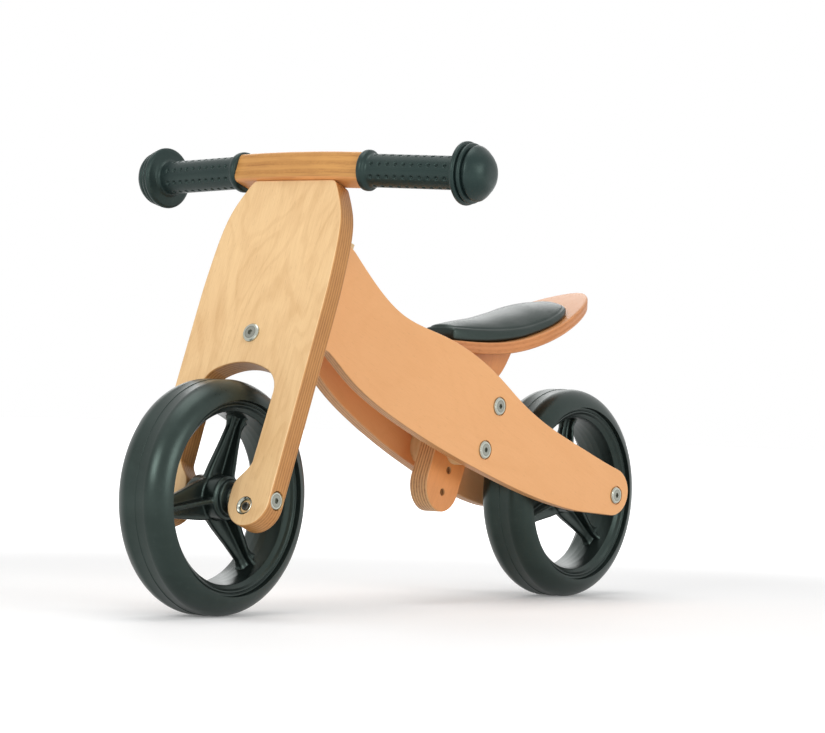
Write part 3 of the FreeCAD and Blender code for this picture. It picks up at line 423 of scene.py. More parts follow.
def shader_group(name, inputs):
    """A shader node group that makes a colour, a roughness and a height out of a place and some values.

    An input's default tells its kind: a vector has none, a colour has three numbers."""
    tree = bpy.data.node_groups.new(name, "ShaderNodeTree")
    for label, default in inputs.items():
        kind = "Vector" if default is None else "Color" if isinstance(default, tuple) else "Float"
        socket = tree.interface.new_socket(name=label, in_out="INPUT", socket_type="NodeSocket" + kind)
        if default is not None:
            socket.default_value = (*default, 1) if kind == "Color" else default
    for label, kind in (("Color", "Color"), ("Roughness", "Float"), ("Height", "Float")):
        tree.interface.new_socket(name=label, in_out="OUTPUT", socket_type="NodeSocket" + kind)
    net = Net(tree)
    return net, net.add("NodeGroupInput").outputs


def end_group(net, colour, roughness, height):
    """Put out what the group makes, and return its tree."""
    net.add("NodeGroupOutput", {"Color": colour, "Roughness": roughness, "Height": height})
    return net.tree


@cache
def board_group():
    """Plywood: figured veneer on the faces and layers on the edges."""
    net, given = shader_group("board_wood", {
        "Place": None, "Facing": None, "Face Light": (0.8, 0.6, 0.3), "Face Dark": (0.6, 0.4, 0.2),
        "Edge Light": (0.6, 0.3, 0.1), "Edge Dark": (0.3, 0.1, 0.05), "Layer": 0.0013, "Figure": 0.5,
        "Edge Contrast": 0.8})
    place = given["Place"]
    through, across, _ = net.parts(place)
    on_face = net.ramp(net.maths("ABSOLUTE", net.parts(given["Facing"])[0]), 0.62, 0.82)

    # Broad figure, as a rotary-cut veneer shows it: slow waves drawn out along the grain.
    warp = net.noise(place, (6, 17, 7), 2.5, 0.45, 0.5)
    wave = net.ramp(net.maths("SINE", net.times_plus(across, 60.0, net.times(warp, 64.0))), 0.15, 1.0)
    cloud = net.ramp(net.noise(place, (20, 30, 12), 4, 0.6, 0.9), 0.36, 0.74)
    fibre = net.noise(place, (420, 1150, 34), 3, 0.6)
    fleck = net.ramp(net.noise(place, (500, 1900, 150), 2, 0.5), 0.63, 0.72)
    figure = net.times(net.times_plus(wave, 0.22, net.times(cloud, 0.50)), given["Figure"])
    figure = net.times_plus(net.ramp(fibre, 0.35, 0.7), 0.20, figure, clamp=True)
    face = net.mix(figure, given["Face Light"], given["Face Dark"])
    face = net.mix(net.times(fleck, 0.22), face, given["Edge Dark"])

    # Layers on the edge: every other one shows end grain, darker and speckled.
    wander = net.noise(place, (60, 40, 40), 2, 0.5)
    depth = net.times_plus(wander, 0.35, net.maths("DIVIDE", through, given["Layer"]))
    stripe = net.ramp(net.maths("PINGPONG", depth, 1.0), 0.34, 0.66)
    speckle = net.noise(place, (900, 420, 420), 3, 0.65)
    end_grain = net.times_plus(net.ramp(speckle, 0.35, 0.7), 0.45, 0.55)
    blush = net.ramp(net.noise(place, (45, 30, 30), 3, 0.5), 0.3, 0.75)
    streak = net.ramp(net.noise(place, (620, 620, 16), 3, 0.6), 0.48, 0.70)
    dark = net.times(net.times(stripe, end_grain), given["Edge Contrast"])
    dark = net.times_plus(streak, 0.30, net.times_plus(blush, 0.22, dark), clamp=True)
    edge = net.mix(dark, given["Edge Light"], given["Edge Dark"])

    raw, satin = net.times_plus(stripe, 0.12, 0.46), net.times_plus(fibre, 0.16, 0.33)
    relief = net.times_plus(stripe, -0.55, net.times(speckle, 0.4))
    flat = net.times_plus(fibre, 0.5, net.times(fleck, -0.35))
    return end_group(net, net.mix(on_face, edge, face), net.blend(on_face, raw, satin),
                     net.blend(on_face, relief, flat))


@cache
def moulded_group():
    """Rubber or plastic out of a mould: a fine skin, faint flow marks and dulled patches."""
    net, given = shader_group("moulded_skin", {
        "Place": None, "Base": (0.02, 0.02, 0.02), "Grain": 900.0, "Dull": 0.5, "Patch": 0.12})
    place, grain = given["Place"], given["Grain"]
    skin = net.noise(place, net.bundle(grain, grain, grain), 3, 0.6)
    patch = net.noise(place, 28, 4, 0.6, 0.4)
    dust = net.ramp(net.noise(place, 160, 4, 0.7), 0.52, 0.80)
    worn = net.mix(net.times(net.ramp(patch, 0.3, 0.8), 0.5), given["Base"], (0.020, 0.029, 0.027))
    dusty = net.mix(net.times(dust, 0.22), worn, (0.036, 0.046, 0.042))
    rough = net.times_plus(net.minus(patch, 0.5), given["Patch"], given["Dull"])
    rough = net.times_plus(net.minus(skin, 0.5), 0.10, rough)
    return end_group(net, dusty, rough, net.times_plus(patch, 0.5, skin))


@cache
def leather_group():
    """Coated leather cloth: small rounded cells with creases between them, the creases painted darker as
    shade.
    """
    net, given = shader_group("leather_grain", {
        "Place": None, "Base": (0.01, 0.01, 0.01), "Cell": 850.0})
    place = given["Place"]
    bend = net.add("ShaderNodeTexNoise", {"Vector": place, "Scale": 260.0})
    shift = net.vector("SCALE", bend.outputs["Color"], 0.0012)
    inputs = {"Vector": net.vector("ADD", place, shift), "Scale": given["Cell"]}
    cells = net.add("ShaderNodeTexVoronoi", inputs, feature="DISTANCE_TO_EDGE")
    crease = net.ramp(cells.outputs["Distance"], 0.0, 0.16)
    fine = net.noise(place, 2600, 2, 0.6)
    wear = net.noise(place, 40, 4, 0.55, 0.5)
    # Painted shade: the creases between the cells are painted darker.
    skin = net.mix(crease, (0.003, 0.004, 0.004), given["Base"])
    worn = net.mix(net.times(net.ramp(wear, 0.4, 0.8), 0.35), skin, (0.014, 0.020, 0.018))
    rough = net.times_plus(wear, 0.12, net.times_plus(net.minus(1.0, crease), 0.18, 0.27))
    return end_group(net, worn, rough, net.times_plus(fine, 0.12, crease))


@cache
def plated_group():
    """Plated steel: turning marks, small pits, a slight haze, and a face inside a bright rim painted
    darker, with a darker ring at its edge, as painted shade.
    """
    net, given = shader_group("plated_steel", {
        "Place": None, "Base": (0.6, 0.6, 0.6), "Polish": 0.2, "Face": 0.0, "Spread": 0.0})
    place = given["Place"]
    haze = net.noise(place, 130, 4, 0.6)
    marks = net.noise(place, (2200, 500, 2200), 2, 0.5)
    pits = net.ramp(net.noise(place, 900, 2, 0.5), 0.66, 0.74)
    base = net.mix(net.times(haze, 0.35), given["Base"], (0.48, 0.46, 0.42))
    base = net.mix(net.times(pits, 0.5), base, (0.20, 0.19, 0.17))
    # Place runs through, across and along the bolt, from its axis or from midway between a pair.
    _, across, along = net.parts(place)
    run = net.minus(net.maths("ABSOLUTE", along), given["Spread"])
    inside = net.minus(given["Face"], net.distance(run, across))
    # Painted shade: inside the face radius the colour is painted darker, and a ring at its edge darker
    # still.
    step = net.minus(net.ramp(inside, -0.0004, -0.0001), net.ramp(inside, 0.0001, 0.0006))
    shade = net.times_plus(net.ramp(inside, 0.0, 0.0004), 0.45, net.times(step, 0.45), clamp=True)
    return end_group(net, net.mix(shade, base, (0.085, 0.080, 0.066)),
                     net.times_plus(haze, 0.16, given["Polish"]),
                     net.times_plus(marks, 0.5, net.times(pits, -0.5)))


def surface(name, group, values, bump, bump_size, plain=None, axes=None):
    """A material whose colour, roughness and relief come from one shader group.

    The plain values go straight on the shader, and the axes turn place and facing to the piece's own."""
    material = bpy.data.materials.new(name)
    material.use_nodes = True
    net = Net(material.node_tree)
    where = net.add("ShaderNodeTexCoord").outputs
    place, facing = where["Object"], where["Normal"]
    if axes:
        place, facing = axes(net, place, facing)
    effect = net.add("ShaderNodeGroup", {"Place": place, **values}, node_tree=group())
    if "Facing" in effect.inputs:
        net.feed(effect.inputs["Facing"], facing)
    made = effect.outputs
    relief = net.add("ShaderNodeBump", {"Strength": bump, "Distance": bump_size, "Height": made["Height"]})
    net.feed_all(material.node_tree.nodes["Principled BSDF"], {
        "Base Color": made["Color"], "Roughness": made["Roughness"], "Normal": relief.outputs[0],
        **(plain or {})})
    return material


def moulded(name, base, grain, dull, patch, specular=0.5):
    """Dark rubber, plastic or nylon."""
    return surface(name, moulded_group, {"Base": base, "Grain": grain, "Dull": dull, "Patch": patch},
                   0.25, 0.00012, {"Specular IOR Level": specular, "Specular Tint": DARK_SHEEN})


def wood(name, tones, layer, figure, contrast, axes):
    """Plywood or solid wood from its four tones: light and dark of the face, light and dark of the edge."""
    values = dict(zip(("Face Light", "Face Dark", "Edge Light", "Edge Dark"), tones))
    values.update({"Layer": layer, "Figure": figure, "Edge Contrast": contrast})
    return surface(name, board_group, values, 0.35, 0.00018,
                   {"Coat Weight": 0.12, "Coat Roughness": 0.28, "Specular IOR Level": 0.45}, axes)


def metal(name, base, polish, bump=0.12, bump_size=0.00008, axes=None, spread=0.0):
    """Plated steel, or dark steel painted as shade. With axes it has the round face of a bolt's head, or of
    a spread pair, painted darker as shade.
    """
    face = BOLT_SHADE_RADIUS if axes else 0.0
    return surface(name, plated_group, {"Base": base, "Polish": polish, "Face": face, "Spread": spread},
                   bump, bump_size, {"Metallic": 1.0}, axes)


def board_axes(through, across, along, origin):
    """Read place and facing in a board's own directions: through its layers, across and along the grain."""
    def build(net, place, facing):
        moved = net.vector("SUBTRACT", place, origin)
        return [net.bundle(*[net.vector("DOT_PRODUCT", source, axis) for axis in (through, across, along)])
                for source in (moved, facing)]
    return build


def plate_axes(sign):
    """The same for the left (1) or right (-1) side plate, which splays out and has a rising grain."""
    across = Vector((math.sin(PLATE_SPLAY), sign * math.cos(PLATE_SPLAY), 0))
    lengthwise = Vector((math.cos(PLATE_SPLAY), -sign * math.sin(PLATE_SPLAY), 0))
    grain = lengthwise * math.cos(PLATE_GRAIN_RISE) + UPRIGHT * math.sin(PLATE_GRAIN_RISE)
    upward = UPRIGHT * math.cos(PLATE_GRAIN_RISE) - lengthwise * math.sin(PLATE_GRAIN_RISE)
    return board_axes(across, upward, grain, REAR_AXLE + SIDEWAYS * (PLATE_REAR_HALF_WIDTH * sign))


SEAT_CURVE = np.polyfit(*zip(*SEAT_TOP_LINE), 5)


def seat_height(x):
    """Height of the seat board's top in its middle plane, at one place or many."""
    return np.polyval(SEAT_CURVE, x)


def bent_axes(net, place, facing):
    """Read place and facing in the seat board's directions, whose layers follow its bend."""
    x, y, z = net.parts(place)
    height = float(SEAT_CURVE[0])
    for factor in SEAT_CURVE[1:]:
        height = net.times_plus(height, x, float(factor))
    facing_x, facing_y, facing_z = net.parts(facing)
    return net.bundle(net.minus(z, height), y, x), net.bundle(facing_z, facing_y, facing_x)


# ---- wheels ----

# Where the tyre meets the rim: radius of its seat, half width of the well, and radius of the lip.
TYRE_SEAT, TYRE_WELL, TYRE_LIP = 0.07005, 0.01745, 0.07545
SHOULDER_STEPS = 14
SPOKE_SIDES, SPOKE_SQUARENESS = 24, 0.3
# How much the hub's ends are smaller than its barrel.
HUB_STEP = 0.0030
FRONT_SPOKE_ANGLE, REAR_SPOKE_ANGLE = math.radians(112), math.radians(98)


def tyre_profile(settings):
    """Closed outline of a tyre as (across, radius)."""
    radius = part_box("front_tyre")[1].z - FRONT_AXLE.z
    half, tread = settings.tyre_half, settings.tread_half
    shoulder = half + 0.0001 - tread
    outline = [(TYRE_WELL, TYRE_SEAT), (TYRE_WELL, TYRE_LIP), (half - 0.0012, TYRE_LIP),
               (half - 0.0004, TYRE_LIP + 0.0002)]
    for k in range(1, SHOULDER_STEPS):
        turn = math.radians(-2 + 92 * k / SHOULDER_STEPS)
        outline.append((tread + shoulder * math.cos(turn), radius - shoulder + shoulder * math.sin(turn)))
    outline += [(tread, radius - 0.0003), (tread - 0.0004, radius - 0.0004), (0.0006, radius - 0.0004),
                (0.0003, radius)]
    return outline + mirrored(outline)


def rim_profile(settings):
    """Closed outline of the rim's ring as (across, radius)."""
    face = settings.rim_half
    half = [(0.0175, 0.070), (0.0175, 0.0754), (face, 0.0754), (face, 0.0737), (face - 0.0009, 0.0733),
            (face - 0.0009, 0.0726), (face, 0.0722), (face, 0.0712), (0.0190, 0.0696), (0.0163, 0.0665),
            (0.0060, 0.0648), (0.0, 0.0645)]
    outline = rounded(half + mirrored(half[:-1]), 0.0006, 3)
    return [point for start, end in zip(outline, outline[1:] + outline[:1])
            for point in split_run(start, end, 0.006)]


def squared(share, half):
    """A step along one side of a ring that is nearer a box than a circle."""
    return math.copysign(abs(share) ** SPOKE_SQUARENESS, share) * half


def spoke_mesh(settings):
    """One spoke pointing up: a tapered web, a rib along its middle and a foot at the rim."""
    root, tip = settings.spoke_root, settings.spoke_tip
    web = [(0.0095, root * 0.66, 0.0036), (0.020, root * 0.60, 0.0034), (0.040, root * 0.43, 0.0030),
           (0.057, tip * 0.50, 0.0028), (0.0622, tip * 0.56, 0.0036), (0.0668, tip * 0.80, 0.0058)]
    rib = [(0.0095, 0.0026, 0.0165), (0.018, 0.0023, 0.0140), (0.040, 0.0018, 0.0102),
           (0.058, 0.0016, 0.0076), (0.0628, 0.0018, 0.0086), (0.0668, 0.0026, 0.0115)]
    turns = [2 * math.pi * (k + 0.5) / SPOKE_SIDES for k in range(SPOKE_SIDES)]
    work = bmesh.new()
    for stations in (web, rib):
        rings = [[work.verts.new((squared(math.cos(turn), half_width), squared(math.sin(turn), half_depth),
                                  height)) for turn in turns]
                 for height, half_width, half_depth in stations]
        for low, high in zip(rings, rings[1:]):
            for k in range(SPOKE_SIDES):
                after = (k + 1) % SPOKE_SIDES
                work.faces.new((low[k], low[after], high[after], high[k]))
        work.faces.new(list(reversed(rings[0])))
        work.faces.new(rings[-1])
    bmesh.ops.recalc_face_normals(work, faces=work.faces)
    return object_from(work, "spoke")


def repeat_round_tree():
    """Geometry nodes that set copies of a shape evenly round the Y axis."""
    net, given, names = geometry_tree("repeat_round_axle", (("Count", "Int"), ("First Angle", "Float")))
    points = net.add("GeometryNodePoints", {"Count": given["Count"]}).outputs[0]
    index = net.add("GeometryNodeInputIndex").outputs[0]
    step = net.maths("DIVIDE", 2 * math.pi, given["Count"])
    turn = net.times_plus(index, step, given["First Angle"])
    copies = net.add("GeometryNodeInstanceOnPoints", {
        "Points": points, "Instance": given["Geometry"], "Rotation": net.bundle(0.0, turn, 0.0)})
    end_tree(net, copies.outputs[0], given["Finish"])
    return net, names


def wheel_spider(name, settings, first_angle, material):
    """Hub and spokes blended into one moulding, about the origin."""
    spokes = spoke_mesh(settings)
    dress(spokes, material)
    spokes = shaped(spokes, *repeat_round_tree(), {
        "Count": settings.spoke_count, "First Angle": math.pi / 2 - first_angle, "Finish": material})
    hub, step = settings.hub_radius, settings.hub_radius - HUB_STEP
    half = [(0.0142, hub), (0.0148, hub - 0.0006), (0.0155, step), (0.0184, step), (0.019, step - 0.0008),
            (0.019, 0.0066)]
    core = lathe("core", mirrored(half) + half, 72)
    body = joined(name, [spokes, core])
    blend = body.modifiers.new("blend", "REMESH")
    blend.mode, blend.voxel_size = "VOXEL", settings.moulding_step
    soften = body.modifiers.new("soften", "SMOOTH")
    soften.factor, soften.iterations = 0.5, 3
    body = applied(body)
    body.data.shade_smooth()
    return body


def make_wheel(end, axle, first_angle, settings, rubber, plastic):
    """Tyre, rim ring and spider of the front or rear wheel."""
    centre = Matrix.Translation(axle)
    tyre = lathe(end + "_tyre_rubber", tyre_profile(settings), settings.segments)
    finish_piece(placed(tyre, centre), rubber, end + "_wheel", [end + "_tyre"])
    ring = lathe(end + "_rim_ring", rim_profile(settings), settings.segments)
    shade_by_angle(ring, 50)
    finish_piece(placed(ring, centre), plastic, end + "_wheel", [end + "_rim"])
    spider = wheel_spider(end + "_rim_spokes", settings, first_angle, plastic)
    finish_piece(placed(spider, centre), plastic, end + "_wheel")


# ---- grips ----

GRIP_SEGMENTS = 168
GRIP_RING_STEP = 0.00055


def grip_profile(settings):
    """Open outline of a grip as (along, radius): bore, collar, barrel and stepped knob."""
    barrel = settings.barrel_radius
    bore = [(0.09705, 0.0), (0.09705, 0.01005), (0.0, 0.01005)]
    collar = [(0.0, 0.0148), (0.0008, 0.0160), (0.0022, 0.0163), (0.0044, 0.0162), (0.0056, 0.0154),
              (0.0062, 0.0140), (0.0074, barrel + 0.0001)]
    held = split_run(Vector((0.0088, barrel)), Vector((0.0870, barrel)), GRIP_RING_STEP)
    knob = [(0.0870, barrel), (0.0888, barrel + 0.0006), (0.0898, 0.0165), (0.0902, 0.0215),
            (0.0905, 0.0238), (0.0912, 0.0246), (0.0924, 0.0248), (0.0936, 0.0246), (0.0943, 0.0238),
            (0.0945, 0.0222), (0.0948, 0.0214), (0.0954, 0.0214), (0.0957, 0.0224), (0.0963, 0.0232),
            (0.0974, 0.0234), (0.0983, 0.0231), (0.0988, 0.0222), (0.0990, 0.0205), (0.0994, 0.0196),
            (0.1002, 0.0196), (0.1006, 0.0206), (0.1012, 0.0214), (0.1022, 0.0217), (0.1034, 0.0214),
            (0.1060, 0.0197), (0.1100, 0.0160), (0.1122, 0.0134), (0.1138, 0.0104), (0.1146, 0.0072),
            (0.1149, 0.0038), (0.1150, 0.0)]
    return bore + collar + held + knob


def dimple_tree():
    """Geometry nodes that press rows of round dimples into a barrel about the Y axis."""
    labels = ("Rows", "Count", "Pitch", "Start", "Dimple Radius", "Depth", "Barrel Radius")
    net, given, names = geometry_tree("press_dimples", [(label, "Float") for label in labels])
    x, y, z = net.parts(net.add("GeometryNodeInputPosition").outputs[0])
    turn = net.times(net.maths("ARCTAN2", z, x), 1 / (2 * math.pi))
    row = net.times(turn, given["Rows"])
    arc = net.times(net.minus(row, net.maths("ROUND", row)), given["Barrel Radius"])
    arc = net.maths("DIVIDE", net.times(arc, 2 * math.pi), given["Rows"])
    step = net.maths("DIVIDE", net.minus(y, given["Start"]), given["Pitch"])
    nearest = net.maths("MAXIMUM", net.maths("ROUND", step), 0.0)
    nearest = net.maths("MINIMUM", nearest, net.minus(given["Count"], 1.0))
    along = net.times(net.minus(step, nearest), given["Pitch"])
    far = net.maths("DIVIDE", net.distance(along, arc), given["Dimple Radius"])
    depth = net.times(net.ramp(far, 1.0, 0.35), given["Depth"])
    outer = net.maths("GREATER_THAN", net.distance(x, z), net.times(given["Barrel Radius"], 0.9))
    outward = net.vector("NORMALIZE", net.bundle(x, 0.0, z))
    push = net.vector("SCALE", outward, net.times(net.times(depth, outer), -1.0))
    press = net.add("GeometryNodeSetPosition", {"Geometry": given["Geometry"], "Offset": push})
    end_tree(net, press.outputs[0], given["Finish"])
    return net, names


def grip_matrix():
    """From the grip's own axis along +Y to the left end of the bent bar."""
    angle = math.asin(BAR_BEND_HALF / BAR_BEND_RADIUS)
    behind = BAR_FORWARD - BAR_BEND_RADIUS + BAR_BEND_RADIUS * math.cos(angle)
    start = FRONT_AXLE + PANEL_FORWARD * behind + SIDEWAYS * BAR_BEND_HALF + STEERING_UP * BAR_HEIGHT
    along = SIDEWAYS * math.cos(angle) - PANEL_FORWARD * math.sin(angle)
    return frame_matrix(along.cross(STEERING_UP), along, STEERING_UP, start)


def make_grip(side, settings, material):
    """The left grip, or the same mirrored to the right."""
    grip = lathe("grip_" + side + "_rubber", grip_profile(settings), GRIP_SEGMENTS, closed=False)
    dress(grip, material)
    grip = shaped(grip, *dimple_tree(), {
        "Rows": float(settings.dimple_rows), "Count": float(settings.dimple_count),
        "Pitch": settings.dimple_pitch, "Start": settings.dimple_start,
        "Dimple Radius": settings.dimple_radius, "Depth": settings.dimple_depth,
        "Barrel Radius": settings.barrel_radius, "Finish": material})
    placed(grip, grip_matrix())
    if side == "right":
        placed(grip, Matrix.Scale(-1, 4, SIDEWAYS))
        tidy_normals(grip)
    shade_by_angle(grip, 60)
    finish_piece(grip, material, "fork", ["grip_" + side])


# ---- seat pad ----

# The pad's half width and the heights of its side band and its top, as (place, value) from nose to tail.
PAD_HALF = ((-0.0482, 0.0158), (-0.060, 0.0205), (-0.085, 0.0278), (-0.122, 0.0368), (-0.160, 0.0402),
            (-0.176, 0.0386), (-0.188, 0.0343), (-0.1945, 0.0300), (-0.2020, 0.0210), (-0.2058, 0.0120),
            (-0.2075, 0.0))
PAD_BAND = ((-0.0482, 0.0104), (-0.077, 0.0106), (-0.092, 0.0102), (-0.114, 0.0090), (-0.131, 0.0078),
            (-0.165, 0.0064), (-0.2075, 0.0054))
PAD_CROWN = ((-0.0482, 0.0130), (-0.060, 0.0165), (-0.083, 0.0200), (-0.127, 0.0212), (-0.166, 0.0180),
             (-0.197, 0.0104), (-0.2075, 0.0058))
# Its tail as (across, place), out to the corner where side and tail meet.
PAD_TAIL = ((0.0, -0.2075), (0.0120, -0.2058), (0.0210, -0.2020), (0.0300, -0.1945))
PAD_FRONT = PAD_HALF[0][0]
CORNER_ACROSS, CORNER_PLACE = PAD_TAIL[-1]
PAD_ROWS, PAD_COLUMNS, PAD_LEVELS = 46, 22, 3
# How much smaller the cover starts before it is blown up.
PAD_SHRINK = 0.0012
# Heights over the board: of the underside at first, of the points that are held, and of the least allowed.
START_GAP, PINNED_BELOW, LEAST_GAP = 0.0004, 0.0012, 0.0003
# The seam's height over the side band, and how far in from the edge it reaches.
SEAM_OVER_BAND, SEAM_REACH = 0.0012, 0.006
BLOWING_FRAMES = 20


def read_curve(table, x):
    """Read a table of (place, value), whose places run up or down, at one place or many."""
    turn = 1 if table[0][0] < table[-1][0] else -1
    return np.interp(turn * x, [turn * p[0] for p in table], [p[1] for p in table])


def read_smooth(table, x):
    """The same, with the table's corners rounded off."""
    return sum(read_curve(table, x + 0.004 * k) for k in range(-3, 4)) / 7


def pad_point(along, across):
    """A point of the pad's plan from two shares: from nose to tail, and from the right side to the left."""
    nose = PAD_FRONT - PAD_SHRINK
    side_x = nose + along * (CORNER_PLACE + PAD_SHRINK - nose)
    tail = read_curve(PAD_TAIL, abs(across) * CORNER_ACROSS) + PAD_SHRINK
    return nose + along * (tail - nose), across * (read_curve(PAD_HALF, side_x) - PAD_SHRINK)


def pad_shell():
    """A closed pad a little smaller than the finished one, in even cells, ready to be blown up."""
    verts, faces, places = [], [], {}

    def vertex(i, j, level):
        """Level 0 is the underside, the highest level the top; levels between exist on the rim only."""
        if (i, j, level) not in places:
            x, y = pad_point(i / PAD_ROWS, -1 + 2 * j / PAD_COLUMNS)
            band = read_smooth(PAD_BAND, x) - PAD_SHRINK
            crown = read_smooth(PAD_CROWN, x) - PAD_SHRINK
            half = max(read_curve(PAD_HALF, x) - PAD_SHRINK, 0.001)
            height = band * level / PAD_LEVELS
            if level == PAD_LEVELS:
                height += (crown - band) * max(0.0, 1 - min(1.0, abs(y) / half) ** 2.3)
            places[i, j, level] = len(verts)
            verts.append((x, y, seat_height(x) + START_GAP + height))
        return places[i, j, level]

    for i in range(PAD_ROWS):
        for j in range(PAD_COLUMNS):
            for level in (0, PAD_LEVELS):
                faces.append([vertex(i + a, j + b, level) for a, b in ((0, 0), (0, 1), (1, 1), (1, 0))])
    rim = [(0, j) for j in range(PAD_COLUMNS)] + [(i, PAD_COLUMNS) for i in range(PAD_ROWS)]
    rim += [(PAD_ROWS, j) for j in range(PAD_COLUMNS, 0, -1)] + [(i, 0) for i in range(PAD_ROWS, 0, -1)]
    for this, that in zip(rim, rim[1:] + rim[:1]):
        for level in range(PAD_LEVELS):
            faces.append([vertex(*this, level), vertex(*that, level), vertex(*that, level + 1),
                          vertex(*this, level + 1)])
    return mesh_object("seat_pad_cover", verts, faces)


def points_of(mesh):
    return np.array([vertex.co for vertex in mesh.vertices])


def move_points(mesh, points):
    mesh.vertices.foreach_set("co", points.ravel())
    mesh.update()


def blow_up(pad, settings):
    """Fill the cover with air, and let no point move further than its cap."""
    rest = points_of(pad.data)
    pinned = np.flatnonzero(rest[:, 2] < seat_height(rest[:, 0]) + PINNED_BELOW)
    pad.vertex_groups.new(name="pinned").add(pinned.tolist(), 1.0, "REPLACE")
    air = pad.modifiers.new("air", "CLOTH")
    cloth = air.settings
    cloth.use_pressure, cloth.uniform_pressure_force = True, settings.pressure
    cloth.vertex_group_mass = "pinned"
    cloth.tension_stiffness = cloth.compression_stiffness = 25
    cloth.bending_stiffness = 0.8
    cloth.effector_weights.gravity = 0
    air.point_cache.frame_start, air.point_cache.frame_end = 1, BLOWING_FRAMES
    scene = bpy.context.scene
    for number in range(1, BLOWING_FRAMES + 1):
        scene.frame_set(number)
    graph = bpy.context.evaluated_depsgraph_get()
    blown = bpy.data.meshes.new_from_object(pad.evaluated_get(graph), depsgraph=graph)
    move = points_of(blown) - rest
    scene.frame_set(1)
    pad.modifiers.clear()
    bpy.data.meshes.remove(blown)
    size = np.linalg.norm(move, axis=1)
    cap = settings.most_swell * size / (size + settings.most_swell)
    move *= (cap / np.maximum(size, 1e-9))[:, None]
    move_points(pad.data, rest + move)


def press_seam(pad, settings):
    """A narrow seam round the edge where the top panel meets the side band, and a flat underside."""
    co = points_of(pad.data)
    normals = np.array([vertex.normal for vertex in pad.data.vertices])
    x, y, z = co.T
    board = seat_height(x)
    near_edge = (np.abs(y) > read_curve(PAD_HALF, x) - SEAM_REACH) | (x > PAD_FRONT - SEAM_REACH)
    away = np.abs(z - board - read_smooth(PAD_BAND, x) - SEAM_OVER_BAND)
    dent = np.clip(1 - away / settings.seam_width, 0, 1) ** 2 * settings.seam_depth * near_edge
    co = co - normals * dent[:, None]
    co[:, 2] = np.maximum(co[:, 2], board + LEAST_GAP)
    move_points(pad.data, co)


def make_seat_pad(settings, material):
    """The cover, blown up, with its seam pressed in."""
    pad = pad_shell()
    blow_up(pad, settings)
    finer = pad.modifiers.new("finer", "SUBSURF")
    finer.levels = finer.render_levels = 2
    soft = pad.modifiers.new("soft", "SMOOTH")
    soft.factor, soft.iterations = 0.5, settings.edge_softness
    pad = applied(pad)
    press_seam(pad, settings)
    pad.data.shade_smooth()
    finish_piece(pad, material, "frame", ["seat_pad"])


# ---- foot screws ----

# Outlines of the cup washer and the socket screw as (depth, radius), and the socket's radius and depth.
CUP_WASHER = ((-0.0029, 0.0071), (-0.0004, 0.0071), (0.0001, 0.0069), (0.0002, 0.0066), (-0.0002, 0.0062),
              (-0.0014, 0.0051), (-0.0029, 0.0049))
SOCKET_SCREW = ((-0.0022, 0.0), (-0.0022, 0.0019), (-0.0009, 0.0019), (-0.0009, 0.0029),
                (-0.0012, 0.0033), (-0.0028, 0.0033), (-0.0028, 0.0019), (-0.0128, 0.0019), (-0.0128, 0.0))
SOCKET_RADIUS, SOCKET_DEPTH = 0.0019, 0.0023


def hexagonal(obj, radius, depth):
    """Turn the round hole in the top of a head into a hexagonal one."""
    for vertex in obj.data.vertices:
        x, y, z = vertex.co
        if y > -depth and radius * 0.9 < math.hypot(x, z) < radius * 1.1:
            turn = math.atan2(z, x) % math.radians(60) - math.radians(30)
            share = math.cos(math.radians(30)) / math.cos(turn)
            vertex.co = (x * share, y, z * share)


def make_foot_screws(ring_finish, screw_finish):
    """A cup washer and a socket screw in the pocket on the front of each fork foot."""
    rings, screws = [], []
    for side in (1, -1):
        mouth = (FRONT_AXLE + PANEL_FORWARD * PANEL_HALF_THICKNESS + SIDEWAYS * (side * FOOT_SCREW_ASIDE)
                 - STEERING_UP * FOOT_SCREW_DROP)
        lie = frame_matrix(SIDEWAYS, PANEL_FORWARD, -STEERING_UP, mouth)
        rings.append(placed(lathe("foot_ring", CUP_WASHER, 48), lie))
        screw = lathe("foot_screw", SOCKET_SCREW, 24, closed=False)
        hexagonal(screw, SOCKET_RADIUS, SOCKET_DEPTH)
        screws.append(placed(screw, lie))
    finish_piece(joined("fork_foot_rings", rings), ring_finish, "fork")
    finish_piece(joined("fork_foot_socket_screws", screws), screw_finish, "fork",
                 ["fork_foot_screws"])


# ---- stage ----

FLOOR_HALF, FLOOR_CELLS = 7.0, 24
STAGE_MIDDLE = Vector((0.0, 0.0, 0.2))
# Each light with its place, size and power.
SOFTBOXES = (("overhead_softbox", (0.1, 0.0, 2.3), (1.6, 1.3), 15),
             ("front_softbox", (2.4, 0.2, 1.2), (1.0, 1.0), 23),
             ("side_softbox", (0.3, 2.6, 0.9), (1.3, 1.0), 22),
             ("rear_softbox", (-1.8, -1.6, 1.4), (1.6, 1.2), 9))
CAMERA_PLACE = Vector((2.16553, 1.64473, 0.18478))
CAMERA_YAW, CAMERA_PITCH, CAMERA_ROLL = math.radians(217.037), math.radians(0.255), math.radians(1.782)
CAMERA_LENS, CAMERA_SENSOR, CAMERA_REACH = 143.873, 36.0, 60


def seen_directly(net):
    """One for camera rays, reflections and rays let through, and nothing for the rays that give light."""
    path = net.add("ShaderNodeLightPath").outputs
    seen = net.maths("MAXIMUM", path["Is Camera Ray"], path["Is Glossy Ray"])
    return net.maths("MAXIMUM", seen, path["Is Transmission Ray"])


def make_world():
    """Plain white where it is seen, and a dimmer white where it lights the bike."""
    world = bpy.data.worlds.new("studio")
    bpy.context.scene.world = world
    world.use_nodes = True
    net = Net(world.node_tree)
    strength = net.ramp(seen_directly(net), 0.0, 1.0, 0.40, 1.0, smooth=False)
    net.feed_all(world.node_tree.nodes["Background"], {"Color": (1, 1, 1), "Strength": strength})


